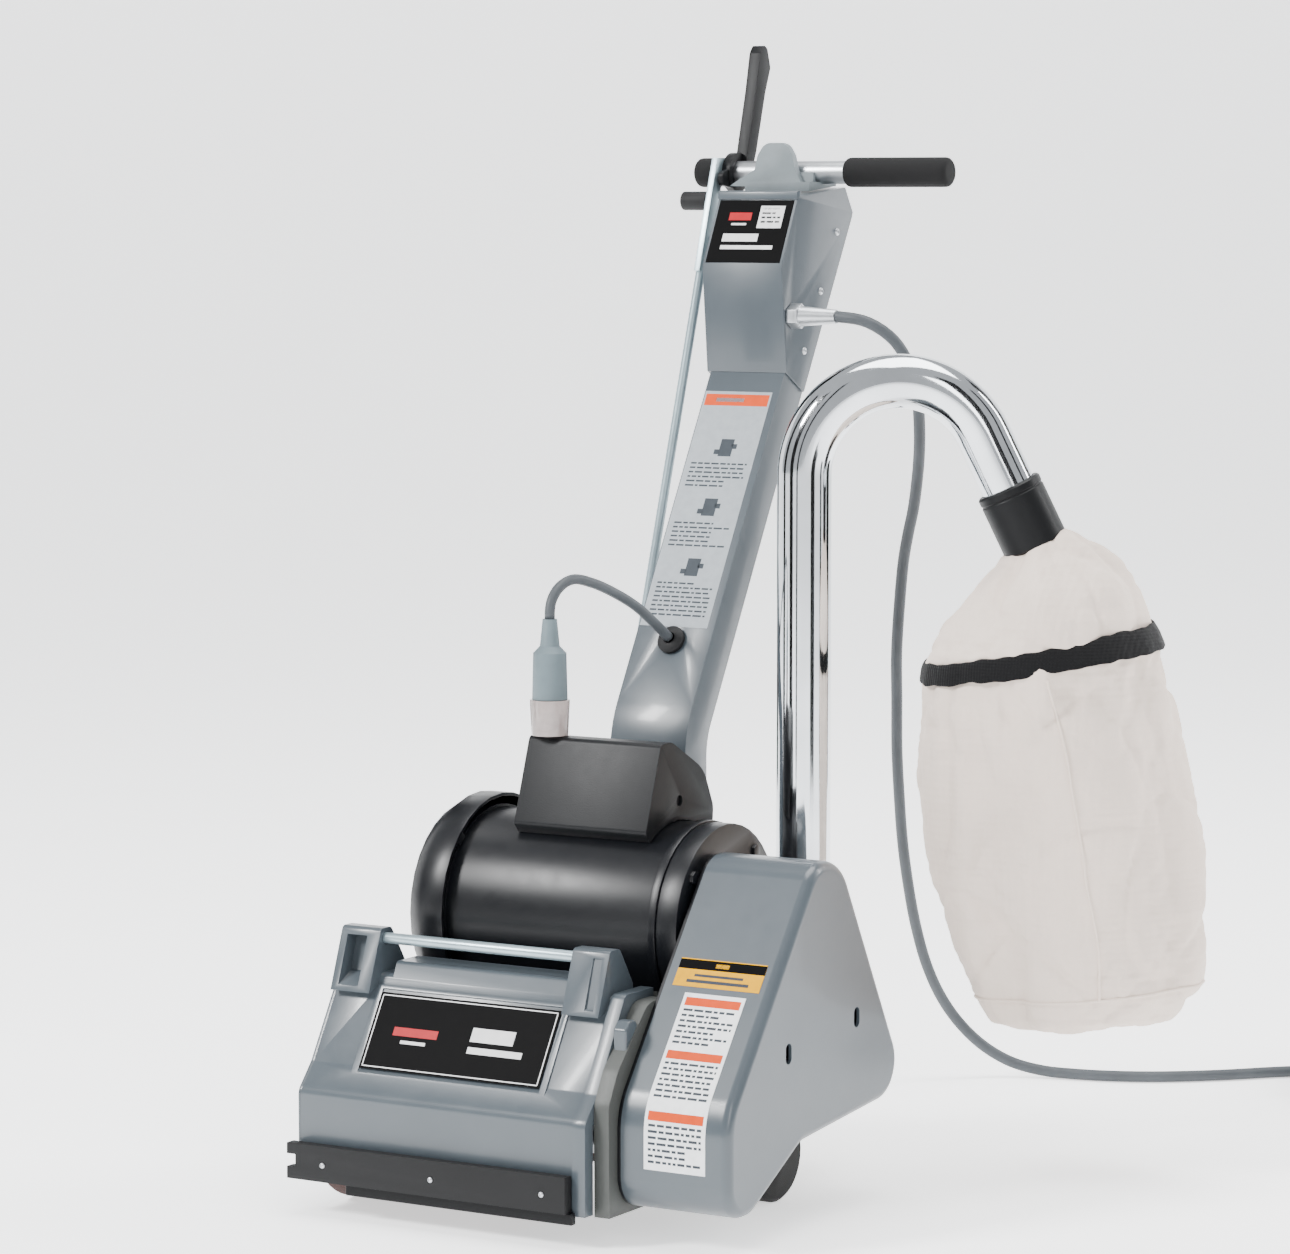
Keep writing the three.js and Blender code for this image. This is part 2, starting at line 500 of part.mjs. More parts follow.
// -- drum door on the left end, hinged at its rear edge
const DOOR = [
  [-88, 30], [97, 30, 6], [97, 140, 6], [58, 150, 8], [17, 204, 6], [-24, 204, 8], [-68, 130, 14], [-88, 107, 12],
];
const DOOR_X = [LEFT - 4.3, LEFT - GAP];
function makeDoor() {
  const panel = plateX(DOOR_X, DOOR);
  const ridge = plateX([DOOR_X[0] - 3, DOOR_X[0] + 1], inset(DOOR, 6));
  const rim = cut(ridge, plateX([DOOR_X[0] - 4, DOOR_X[0] + 2], inset(DOOR, 11)));
  const straps = [50, 118].map((z) => block([DOOR_X[0] - 4, DOOR_X[0] + 1], [70, 101], [z - 9, z + 9]));
  const knuckles = [50, 118].map((z) => roundZ(DOOR_HINGE.x, DOOR_HINGE.y, [z - 9, z + 9], 5.5, 5.5, 20));
  return cut(join(panel, rim, ...straps, ...knuckles), roundZ(DOOR_HINGE.x, DOOR_HINGE.y, [30, 140], 3.4, 3.4, 16));
}
add('drum_door', makeDoor(), PAINT);
const KNOB = { y: -14, z: 96 };
add('door_knob', join(
  roundX([DOOR_X[0] - 22, DOOR_X[0] - 8], KNOB.y, KNOB.z, 15, 20),
  roundX([DOOR_X[0] - 9, DOOR_X[0] - GAP], KNOB.y, KNOB.z, 8, 20),
), PLASTIC);

// -- column and control box, in distances along and behind the column's leaning front face
function onColumn(along, behind) {
  const { y, z, lean } = COLUMN;
  return [
    y + along * Math.sin(lean) + behind * Math.cos(lean),
    z + along * Math.cos(lean) - behind * Math.sin(lean),
  ];
}
function columnLine(t, bottom, top) {
  const rear = COLUMN.y + COLUMN.depth - t;
  const { lean } = COLUMN;
  const elbow = (d, y) =>
    COLUMN.z + ((y - COLUMN.y) - d * Math.cos(lean)) / Math.tan(lean) - d * Math.sin(lean);
  return [
    [COLUMN.y + t, bottom], [rear, bottom], [rear, elbow(COLUMN.depth - t, rear), 60 + t],
    onColumn(top, COLUMN.depth - t), onColumn(top, t), [COLUMN.y + t, elbow(t, COLUMN.y + t), 100 - t],
  ];
}
const FOOT_TOP = DECK[1] + 8;
function makeColumn() {
  const outside = plateX(COLUMN.x, columnLine(0, DECK[1] + GAP, COLUMN.length - GAP), 5);
  const inside = plateX([COLUMN.x[0] + 3, COLUMN.x[1] - 3], columnLine(3, DECK[1] - 1, COLUMN.length + 1), 5);
  const foot = block([COLUMN.x[0] - 12, COLUMN.x[1] + 12], [COLUMN.y - 3, COLUMN.y + 60], [DECK[1] + GAP, FOOT_TOP]);
  const leadHole = roundZ(0, 0, [-8, 8], 11.3, 11.3, 24);
  const [y, z] = onColumn(90, 0);
  leadHole.rotateX(Math.PI / 2 - COLUMN.lean).translate((COLUMN.x[0] + COLUMN.x[1]) / 2, y, z);
  return cut(join(outside, foot), inside, leadHole);
}
add('column', makeColumn(), PAINT);

const BOX_LINE = [
  onColumn(COLUMN.length, 0), onColumn(COLUMN.length, COLUMN.depth), onColumn(COLUMN.length + 194, COLUMN.depth),
  [524, 897], [431.8, 888], [399.8, 823],
];
const BOX_REAR = [onColumn(COLUMN.length, COLUMN.depth), onColumn(COLUMN.length + 194, COLUMN.depth)];
function makeControlBox() {
  const hollow = inset(BOX_LINE, 2.5);
  const back = new THREE.Vector2(Math.cos(COLUMN.lean), -Math.sin(COLUMN.lean)).multiplyScalar(10);
  [1, 2].forEach((i) => { hollow[i] = [hollow[i][0] + back.x, hollow[i][1] + back.y, 0]; });
  const lip = plateX(BOX.x, [[429, 886], [436, 886], [437, 894, 2], [430, 893.4, 2]]);
  const exit = roundX([BOX.x[1] - 5, BOX.x[1] + 1], 418, 777, 8.4, 24);
  return cut(join(plateX(BOX.x, BOX_LINE), lip), plateX([BOX.x[0] + 2.5, BOX.x[1] - 2.5], hollow), exit);
}
add('control_box', makeControlBox(), PAINT);

function makeBoxCover() {
  const edge = (along, behind) => onColumn(COLUMN.length + along, COLUMN.depth + behind);
  const sheet = plateX([BOX.x[0] + 1, BOX.x[1] - 1], [edge(2, GAP), edge(2, 2.3), edge(192, 2.3), edge(192, GAP)]);
  const window = plateX([44, 69], [edge(120, -1), edge(120, 4), edge(158, 4), edge(158, -1)]);
  return cut(sheet, window);
}
add('control_box_cover', makeBoxCover(), PAINT);

function makeSwitchBezel() {
  const at = (along, behind) => onColumn(COLUMN.length + 139 + along, COLUMN.depth + behind);
  const outline = (half, [near, far]) => [at(-half, near), at(half, near), at(half, far), at(-half, far)];
  const bezel = plateX([39, 74], outline(24, [2.6, 6]));
  const body = plateX([46, 67], outline(17, [-14, 3]));
  const pocket = plateX([49, 64], outline(14, [-8, 7]));
  return cut(join(bezel, body), pocket);
}
add('switch_bezel', makeSwitchBezel(), PLASTIC);
function makeSwitchRocker() {
  const rocker = (a, b) => onColumn(COLUMN.length + 139 + a, COLUMN.depth + b);
  return plateX([50, 63], [rocker(-12, -4), rocker(12, -4), rocker(12, 6.5), rocker(0, 4.5), rocker(-12, 9)]);
}
add('switch_rocker', makeSwitchRocker(), finish(0xa01818, 0.4));

// -- handlebar, its saddle and grips
add('handlebar', roundX(BAR.x, BAR.y, BAR.z, BAR.r, 20), STEEL);
function makeSaddle() {
  const dome = plateY([478, 486],
    [[-2, 898], [78, 898], [70, 914], [67, 927, 10], [60, 939, 12], [37, 939, 12], [29, 927, 10], [26, 914]]);
  const clamp = block([26, 86], [484, 514], [898, 911]);
  const bed = plateX([20, 90], [[470, 893.2], [523, 898.2], [523, 902], [470, 902]]);
  return cut(join(dome, clamp, bed), roundX([-10, 100], BAR.y, BAR.z, BAR.r + GAP, 28));
}
add('bar_saddle', makeSaddle(), GREY_PLASTIC);

function makeGrip(x, closedSide) {
  const profile = [[0, x[0]], [GRIP.r - 3, x[0]], [GRIP.r, x[0] + 3], [GRIP.r, x[1] - 3], [GRIP.r - 3, x[1]], [0, x[1]]];
  const body = new THREE.LatheGeometry(profile.map(([r, a]) => new THREE.Vector2(r, a)), 20);
  const hole = closedSide > 0 ? [x[0] - 1, BAR.x[1] + GAP] : [BAR.x[0] - GAP, x[1] + 1];
  return cut(body.rotateZ(-Math.PI / 2).translate(0, BAR.y, BAR.z), roundX(hole, BAR.y, BAR.z, BAR.r + GAP, 20));
}
add('grip_right', makeGrip([BAR.x[1] + 3 - GRIP.length, BAR.x[1] + 3], 1), RUBBER);
add('grip_left', makeGrip([BAR.x[0] - 3, -20], -1), RUBBER);

// -- lift lever on the bar, with its crank, and the rod down to the carriage
const LEVER = [
  [504, 921], [518, 918], [524, 932], [541, 988], [551, 1012, 4], [545, 1030, 4], [538, 1034, 4], [531, 1026, 6],
  [523, 990],
];
function makeLever() {
  const hub = roundX([-11, -2.6], BAR.y, BAR.z, 19);
  const arm = plateX([-10, 2], LEVER);
  const crank = plateX([-9, -4], [[469, 899, 5], [484, 897], [498, 893], [498, 928], [484, 915], [469, 911, 5]]);
  return cut(join(hub, arm, crank), roundX([-12, 4], BAR.y, BAR.z, BAR.r + 0.5, 28));
}
add('lift_lever', makeLever(), PLASTIC);

function onRod(z, across) {
  return [ROD.y + ROD.slope * (z - ROD.z) + across, z];
}
function makeRod() {
  const from = new THREE.Vector3(ROD.x, ...onRod(ROD.bottom, 0));
  const to = new THREE.Vector3(ROD.x, ...onRod(850, 0));
  const rod = alongCurve(new THREE.LineCurve3(from, to), ROD.r, 1, 16);
  const link = plateX([ROD.x - 3, ROD.x + 3], [onRod(818, -8), onRod(818, 8), onRod(ROD.top, 8), onRod(ROD.top, -8)]);
  return join(rod, link);
}
add('lift_rod', makeRod(), STEEL);
add('rod_stub', roundX([-45, ROD.x - 3 - GAP], ...onRod(884, 0), 9, 24), RUBBER);

// -- dust pipe, collar and bag
const HOOK_END = Math.PI - HOOK_LEAN;
// A point of the hook's plane: out from the pipe's upright, at height z.
function inHook(out, z) {
  return new THREE.Vector3(PIPE.x + out * Math.cos(HOOK_TURN), PIPE.y + out * Math.sin(HOOK_TURN), z);
}
// The leg after the bend, between two distances from the bend's end.
function legLine(from, to) {
  const place = (d) => inHook(
    PIPE.bend * (1 - Math.cos(HOOK_END)) + d * Math.sin(HOOK_LEAN),
    PIPE.straight + PIPE.bend * Math.sin(HOOK_END) - d * Math.cos(HOOK_LEAN));
  return new THREE.LineCurve3(place(from), place(to));
}
const PIPE_SIDES = 20;
const BEND_STEPS = 13;
// Rings round the pipe from its foot to its end; extra lengthens both ends.
function pipeRings(r, extra) {
  const across = inHook(1, 0).sub(inHook(0, 0));
  const side = new THREE.Vector3(0, 0, 1).cross(across);
  const ring = (centre, angle) => Array.from({ length: PIPE_SIDES }, (_, i) => {
    const turn = (i / PIPE_SIDES) * 2 * Math.PI;
    const point = centre.clone().addScaledVector(side, r * Math.sin(turn));
    point.addScaledVector(across, r * Math.cos(turn) * Math.cos(angle));
    return point.setZ(point.z - r * Math.cos(turn) * Math.sin(angle));
  });
  const bend = Array.from({ length: BEND_STEPS + 1 }, (_, i) => {
    const angle = (i / BEND_STEPS) * HOOK_END;
    return ring(inHook(PIPE.bend * (1 - Math.cos(angle)), PIPE.straight + PIPE.bend * Math.sin(angle)), angle);
  });
  return [ring(inHook(0, PIPE.bottom - extra), 0), ...bend, ring(legLine(0, LEG.length + extra).v2, HOOK_END)];
}
add('dust_pipe', cut(loft(pipeRings(PIPE.r, 0)), loft(pipeRings(PIPE.r - PIPE.wall, 1))), CHROME);
add('pipe_collar', cut(
  alongCurve(legLine(LEG.bare, LEG.bare + LEG.collar), 30, 1, 28),
  alongCurve(legLine(LEG.bare - 1, LEG.length + GAP), PIPE.r + 0.8, 1, 20),
  alongCurve(legLine(LEG.length, LEG.bare + LEG.collar + 1), PIPE.r - 3, 1, 20),
), RUBBER);

const BAG_SIDES = 20;
// The bag's levels: distance out from the pipe's axis, height, half width and half depth.
const BAG_LEVELS = [
  [213, 567, 34, 32], [209, 545, 66, 56], [210, 516, 88, 74], [214, 480, 107, 82], [224, 425, 122, 86],
  [238, 355, 126, 88], [250, 285, 126, 88], [261, 225, 117, 86], [267, 175, 104, 80], [262, 148, 84, 70],
];
// One ring of the bag at height z, grown outwards; the upper rings lean with the neck.
function bagRing(z, grow) {
  const next = Math.max(BAG_LEVELS.findIndex((level) => level[1] <= z), 1);
  const [above, below] = [BAG_LEVELS[next - 1], BAG_LEVELS[next]];
  const t = (above[1] - z) / (above[1] - below[1]);
  const [out, , half, depth] = above.map((value, i) => value + (below[i] - value) * t);
  const lean = 0.2 * THREE.MathUtils.clamp((z - 225) / 300, 0, 1);
  const corner = (value) => Math.sign(value) * Math.abs(value) ** 0.72;
  return Array.from({ length: BAG_SIDES }, (_, i) => {
    const angle = (i / BAG_SIDES) * 2 * Math.PI;
    const wide = corner(Math.cos(angle)) * (half + grow);
    const deep = corner(Math.sin(angle)) * (depth + grow);
    const point = inHook(out + wide, z + wide * lean);
    return point.add(new THREE.Vector3(-deep * Math.sin(HOOK_TURN), deep * Math.cos(HOOK_TURN), 0));
  });
}
add('dust_bag', loft(BAG_LEVELS.map((level) => bagRing(level[1], 0)).reverse()), CLOTH);
const BAND_LEVELS = [466, 480, 490];
add('bag_band', cut(
  loft(BAND_LEVELS.map((z) => bagRing(z, 3))),
  loft([458, BAND_LEVELS[1], 498].map((z) => bagRing(z, 0.5))),
), BAND);

// -- motor lead from the column to its connector on the wiring box
const [GROMMET_Y, GROMMET_Z] = onColumn(90, 0);
const GROMMET_X = (COLUMN.x[0] + COLUMN.x[1]) / 2;
function makeGrommet() {
  const bore = LEAD_R + 0.3;
  const profile = [[bore, -6], [11, -6], [11, 0.4], [13.5, 0.4], [13.5, 4], [8, 7], [bore, 7], [bore, -6]];
  const ring = new THREE.LatheGeometry(profile.map(([r, h]) => new THREE.Vector2(r, h)), 24);
  return ring.rotateX(Math.PI - COLUMN.lean).translate(GROMMET_X, GROMMET_Y, GROMMET_Z);
}
add('lead_grommet', makeGrommet(), RUBBER);
const PLUG_AT = { x: 30, y: 104 };
add('lead_socket', roundZ(PLUG_AT.x, PLUG_AT.y, [410, 442], 16.5, 18, 28), CLEAR);
add('lead_connector', join(
  roundZ(PLUG_AT.x, PLUG_AT.y, [442 + GAP, 484], 16, 15, 28),
  roundZ(PLUG_AT.x, PLUG_AT.y, [483.5, 490], 15, 9, 28),
  roundZ(PLUG_AT.x, PLUG_AT.y, [489, 514], 9, 6.5, 24),
), GREY_PLASTIC);
const LEAD_POINTS = [
  [PLUG_AT.x, PLUG_AT.y, 514 + GAP], [PLUG_AT.x, PLUG_AT.y, 520], [30, 107, 530], [31, 118, 541],
  [33, 138, 547], [37, 165, 542], [42, 195, 531], [47, 225, 516.5], [53, 247, 500],
  [GROMMET_X, GROMMET_Y - 6.3, GROMMET_Z + 3.6],
];

// -- mains cord: strain relief, route, coil, tail and plug
const EXIT = { x: BOX.x[1], y: 418, z: 777 };
add('strain_relief', cut(join(
  roundX([EXIT.x - 4, EXIT.x + 2], EXIT.y, EXIT.z, 8, 24),
  roundX([EXIT.x + GAP, EXIT.x + 12], EXIT.y, EXIT.z, 12, 6),
  new THREE.CylinderGeometry(6.6, 9.5, 38, 24).rotateZ(-Math.PI / 2).translate(EXIT.x + 30, EXIT.y, EXIT.z),
), roundX([EXIT.x - 6, EXIT.x - 1], EXIT.y, EXIT.z, 5, 20)), STEEL);
const CORD_POINTS = [
  [EXIT.x + 50.2, EXIT.y, EXIT.z], [180, 421, 772], [203, 430, 755], [213, 444, 728], [212, 459, 701],
  [207, 473, 673], [199, 488, 646], [190, 501, 620], [179, 515, 593], [167, 527, 567], [156, 539, 540],
  [146, 551, 501], [135, 566, 450], [127, 582, 401], [118, 600, 349], [111, 619, 298], [105, 637, 256],
  [101, 656, 213], [98, 679, 166], [98, 704, 121], [103, 728, 84], [114, 750, 54], [131, 768, 31],
  [154, 783, 15], [184, 793, 7.5], [216, 801, CORD.floor], [257, 812, CORD.floor], [297, 833, CORD.floor],
  [342, 869, CORD.floor], [384, 913, CORD.floor], [414, 942.5, CORD.floor],
];
const LANE = 2 * CORD.r;                  // between neighbouring turns of the coil
// The end of the cord leaves the coil's top outer turn level and comes down in a long S to the plug.
const TAIL = {
  x: COIL.x + COIL.mid + 1.5 * LANE, start: 54, level: 30, run: 75, end: 112, top: CORD.floor + 3 * LANE, low: 15.4,
};
const TAIL_STEPS = 6;
const TAIL_POINTS = Array.from({ length: TAIL_STEPS + 1 }, (_, i) => {
  const gone = TAIL.start + (i / TAIL_STEPS) * (TAIL.level + TAIL.run - TAIL.start);
  const drop = (1 - Math.cos((Math.PI * (gone - TAIL.level)) / TAIL.run)) / 2;
  return [TAIL.x, COIL.y - gone, TAIL.top + (TAIL.low - TAIL.top) * drop];
});
TAIL_POINTS.push([TAIL.x, COIL.y - TAIL.end, TAIL.low]);
function routeThrough(points) {
  return new THREE.CatmullRomCurve3(points.map((p) => new THREE.Vector3(...p)), false, 'centripetal');
}
add('motor_lead', alongCurve(routeThrough(LEAD_POINTS), LEAD_R - 0.3, 18, 8), CORD_SKIN);
add('mains_cord', alongCurve(routeThrough(CORD_POINTS), CORD.r, 48, 8), CORD_SKIN);
function makeCoil() {
  const [inner, outer] = [COIL.mid - COIL.half, COIL.mid + COIL.half];
  const profile = [[inner, 0.3], [outer, 0.3], [outer, COIL.height - 4], [outer - 4, COIL.height],
    [inner + 4, COIL.height], [inner, COIL.height - 4], [inner, 0.3]];
  const ring = new THREE.LatheGeometry(profile.map(([r, z]) => new THREE.Vector2(r, z)), 28);
  return ring.rotateX(Math.PI / 2).translate(COIL.x, COIL.y, 0);
}
add('cord_coil', makeCoil(), CORD_SKIN);
add('cord_tail', alongCurve(routeThrough(TAIL_POINTS), CORD.r, TAIL_STEPS + 1, 8), CORD_SKIN);
function makePlug() {
  const end = COIL.y - TAIL.end - GAP;
  const lying = (from, to, r, r2, sides = 24, x = TAIL.x, z = TAIL.low) =>
    roundZ(x, 0, [from, to], r, r2, sides).rotateX(Math.PI / 2).translate(0, end, z);
  const neck = lying(0, 12, 8, 11);
  const body = lying(11, 45, 15, 15);
  const blades = [-6.5, 6.5].map((x) =>
    block([TAIL.x + x - 0.8, TAIL.x + x + 0.8], [end - 62, end - 44], [14, 20]));
  const earth = lying(44, 64, 2.4, 2.4, 16, TAIL.x, 8);
  return join(neck, body, ...blades, earth);
}
add('mains_plug', makePlug(), RUBBER);

sander.children.forEach((mesh) => mesh.geometry.translate(-ORIGIN.x, -ORIGIN.y, 0));

export default sander;
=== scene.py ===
"""Looks of a walk-behind floor drum sander. Places are in millimetres from the middle of the drum's
width, with z up from the floor; at() turns them into the frame's metres."""

import json
import math

import bmesh
import bpy
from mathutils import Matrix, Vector, noise
from mathutils.bvhtree import BVHTree


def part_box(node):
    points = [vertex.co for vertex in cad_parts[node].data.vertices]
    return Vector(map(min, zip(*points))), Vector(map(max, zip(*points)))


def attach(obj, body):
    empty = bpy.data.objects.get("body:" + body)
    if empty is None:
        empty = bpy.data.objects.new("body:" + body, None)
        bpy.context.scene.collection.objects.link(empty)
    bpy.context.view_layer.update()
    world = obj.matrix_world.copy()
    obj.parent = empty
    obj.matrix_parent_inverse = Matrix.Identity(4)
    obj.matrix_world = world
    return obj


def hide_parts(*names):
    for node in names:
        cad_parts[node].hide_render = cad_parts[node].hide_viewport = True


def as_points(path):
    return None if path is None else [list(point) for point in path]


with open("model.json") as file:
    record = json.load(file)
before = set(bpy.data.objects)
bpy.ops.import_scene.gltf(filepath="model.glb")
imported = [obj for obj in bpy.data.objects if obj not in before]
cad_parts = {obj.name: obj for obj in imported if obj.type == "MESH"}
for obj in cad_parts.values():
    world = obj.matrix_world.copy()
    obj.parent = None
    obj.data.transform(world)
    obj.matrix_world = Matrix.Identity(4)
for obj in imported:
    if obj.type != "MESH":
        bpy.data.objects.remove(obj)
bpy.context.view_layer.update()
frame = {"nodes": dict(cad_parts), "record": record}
MM = 0.001

# ---- where the drum is in the frame --------------------------------------------------------
DRUM_AXIS_Y = -8.0
DRUM_LOW, DRUM_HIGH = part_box("drum")
BASE = Vector(((DRUM_LOW.x + DRUM_HIGH.x) / 2, (DRUM_LOW.y + DRUM_HIGH.y) / 2 - DRUM_AXIS_Y * MM, 0))


def at(x, y, z):
    """A place in the frame, in metres."""
    return BASE + Vector((x, y, z)) * MM


# ---- camera --------------------------------------------------------------------------------
CAMERA_PLACE = (2200.67, -3343.90, 894.34)
CAMERA_TURN = 31.0
CAMERA_DOWN = 5.434
CAMERA_LENS = 128.19


def make_camera():
    data = bpy.data.cameras.new("camera")
    data.lens = CAMERA_LENS
    data.sensor_width = 36
    data.clip_end = 60
    camera = bpy.data.objects.new("camera", data)
    bpy.context.scene.collection.objects.link(camera)
    camera.location = at(*CAMERA_PLACE)
    camera.rotation_euler = (math.radians(90 - CAMERA_DOWN), 0, math.radians(CAMERA_TURN))
    bpy.context.scene.camera = camera


make_camera()

# ---- cords: the route's points are those of the CAD solids ------------------------------------
CORD_R = 5.5
CORD_FLOOR = 5.8
LANE = 2 * CORD_R
COIL = (532.5, 931)
COIL_MID = 90
COIL_LAYERS = 4
COIL_LANES = 4
COIL_START = math.radians(147.9)
COIL_TURNS = 15 + 147.9 / 360
TAIL_LEVEL, TAIL_RUN, TAIL_END, TAIL_LOW = 30, 75, 112, 15.4
LEAD_R = 4.7
F = CORD_FLOOR
CORD_ROUTE = [
    (99.5, 418, 777), (125, 418, 777), (148.8, 418, 777), (180, 421, 772), (203, 430, 755), (213, 444, 728),
    (212, 459, 701), (207, 473, 673), (199, 488, 646), (190, 501, 620), (179, 515, 593), (167, 527, 567),
    (156, 539, 540), (146, 551, 501), (135, 566, 450), (127, 582, 401), (118, 600, 349), (111, 619, 298),
    (105, 637, 256), (101, 656, 213), (98, 679, 166), (98, 704, 121), (103, 728, 84), (114, 750, 54),
    (131, 768, 31), (154, 783, 15), (184, 793, 7.5), (216, 801, F), (257, 812, F), (297, 833, F),
    (342, 869, F), (384, 913, F), (414, 942.5, F),
]
LEAD_ROUTE = [
    (58, 264.4, 485.5), (53, 247, 500), (47, 225, 516.5), (42, 195, 531), (37, 165, 542), (33, 138, 547),
    (31, 118, 541), (30, 107, 530), (30, 104, 520), (30, 104, 514.3),
]


def smooth(t):
    t = min(max(t, 0.0), 1.0)
    return t * t * (3 - 2 * t)


def between(keys, t):
    """The value at t of a list of (t, value), eased from one to the next."""
    for (t0, a), (t1, b) in zip(keys, keys[1:]):
        if t <= t1:
            return a + (b - a) * smooth((t - t0) / (t1 - t0))
    return keys[-1][1]


def coil_points(per_turn=24):
    """Turns side by side in layers; each holds its lane, then all change lane over the same quarter."""
    lanes, layers = [], []
    for layer in range(COIL_LAYERS):
        order = range(COIL_LANES - 1, -1, -1) if layer % 2 == 0 else range(COIL_LANES)
        for k, lane in enumerate(order):
            turn = COIL_LANES * layer + k
            begin = turn - 0.25 if k == 0 and layer else turn
            end = turn + (0.75 if k < COIL_LANES - 1 else 0.45)
            lanes += [(begin, lane), (end, lane)]
            layers += [(begin, layer), (end, layer)]
    points = []
    steps = round(COIL_TURNS * per_turn)
    for i in range(steps + 1):
        t = COIL_TURNS * i / steps
        r = COIL_MID + LANE * (between(lanes, t) - 1.5)
        angle = COIL_START - 2 * math.pi * t
        z = CORD_FLOOR + LANE * between(layers, t)
        points.append((COIL[0] + r * math.cos(angle), COIL[1] + r * math.sin(angle), z))
    return points


def tail_points(steps=9):
    """Level off the top turn, then down in a long S to the plug."""
    x = COIL[0] + COIL_MID + 1.5 * LANE
    top = CORD_FLOOR + (COIL_LAYERS - 1) * LANE
    points = [(x, COIL[1] - 15, top)]
    for i in range(steps + 1):
        t = i / steps
        drop = (1 - math.cos(math.pi * t)) / 2
        points.append((x, COIL[1] - TAIL_LEVEL - TAIL_RUN * t, top + (TAIL_LOW - top) * drop))
    return points + [(x, COIL[1] - TAIL_END, TAIL_LOW)]


def spline_through(points, step):
    """Points along a smooth curve through the given ones (centripetal Catmull-Rom)."""
    nodes = [Vector(p) for p in points]
    nodes = [2 * nodes[0] - nodes[1], *nodes, 2 * nodes[-1] - nodes[-2]]
    result = []
    for i in range(1, len(nodes) - 2):
        p = nodes[i - 1:i + 3]
        k = [0.0]
        for a, b in zip(p, p[1:]):
            k.append(k[-1] + max((b - a).length, 1e-6) ** 0.5)
        count = max(1, round((p[2] - p[1]).length / step))
        for j in range(count):
            t = k[1] + (k[2] - k[1]) * j / count
            a = [(p[m] * (k[m + 1] - t) + p[m + 1] * (t - k[m])) / (k[m + 1] - k[m]) for m in range(3)]
            b = [(a[m] * (k[m + 2] - t) + a[m + 1] * (t - k[m])) / (k[m + 2] - k[m]) for m in range(2)]
            result.append((b[0] * (k[2] - t) + b[1] * (t - k[1])) / (k[2] - k[1]))
    return result + [nodes[-2]]


def make_cord(name, points, r, count=14):
    """A round tube along points in millimetres, with its path in metres."""
    path = [at(*p) for p in points]
    bm = bmesh.new()
    side = (path[1] - path[0]).orthogonal()
    rings = []
    for i, p in enumerate(path):
        ahead = (path[min(i + 1, len(path) - 1)] - path[max(i - 1, 0)]).normalized()
        side = (side - ahead * side.dot(ahead)).normalized()
        other = ahead.cross(side)
        turns = [2 * math.pi * k / count for k in range(count)]
        rings.append([bm.verts.new(p + (side * math.cos(a) + other * math.sin(a)) * r * MM) for a in turns])
    for a, b in zip(rings, rings[1:]):
        for k in range(count):
            bm.faces.new((a[k], a[(k + 1) % count], b[(k + 1) % count], b[k])).smooth = True
    bm.faces.new(list(reversed(rings[0])))
    bm.faces.new(rings[-1])
    mesh = bpy.data.meshes.new(name)
    bm.to_mesh(mesh)
    bm.free()
    cord = bpy.data.objects.new(name, mesh)
    bpy.context.scene.collection.objects.link(cord)
    return cord, path


def make_cords():
    cord, cord_path = make_cord("mains_lead", spline_through(CORD_ROUTE + coil_points() + tail_points(), 7), CORD_R)
    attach(cord, "base")
    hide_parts("mains_cord", "cord_coil", "cord_tail")
    lead, lead_path = make_cord("motor_supply_lead", spline_through(LEAD_ROUTE, 4), LEAD_R)
    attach(lead, "base")
    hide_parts("motor_lead")
    return cord, cord_path, lead, lead_path


MAINS_LEAD, MAINS_PATH, MOTOR_LEAD, MOTOR_PATH = make_cords()

# ---- stage and light -------------------------------------------------------------------------
WORLD_STRENGTH = 0.7
FLAG_DISTANCE = 2.6
FLAG_HEIGHT = 3.2
FLAGS = [(-118, 8), (-92, 3), (-24, 9), (14, 4), (58, 10), (150, 11), (206, 6)]    # azimuth and half width
FLOOR_HALF = 20.0
BACK_Y = 6.0
BACK_TURN = 2.0
SOFTBOXES = [
    # name, place in metres, size, power in watts, what it aims at
    ("key", (-2.6, -3.6, 3.4), (1.3, 1.3), 420, (0, 0, 0.4)),
    ("fill", (3.6, -2.6, 2.2), (1.4, 2.6), 70, (0, 0, 0.5)),
    ("top", (0.2, 0.4, 4.2), (3.0, 3.0), 230, (0, 0, 0)),
    ("rim", (2.4, 3.0, 2.4), (1.2, 2.4), 160, (0, 0, 0.6)),
]


def aim(obj, target):
    obj.rotation_euler = (Vector(target) - obj.location).to_track_quat("-Z", "Y").to_euler()


def make_lights():
    for name, place, size, power, target in SOFTBOXES:
        data = bpy.data.lights.new(name, "AREA")
        data.shape = "RECTANGLE"
        data.size, data.size_y = size
        data.energy = power
        light = bpy.data.objects.new(name, data)
        bpy.context.scene.collection.objects.link(light)
        light.location = place
        aim(light, target)
    make_world()


def make_world():
    world = bpy.data.worlds.new("studio")
    bpy.context.scene.world = world
    world.use_nodes = True
    background = world.node_tree.nodes["Background"]
    background.inputs["Color"].default_value = (0.95, 0.97, 1.0, 1)
    background.inputs["Strength"].default_value = WORLD_STRENGTH


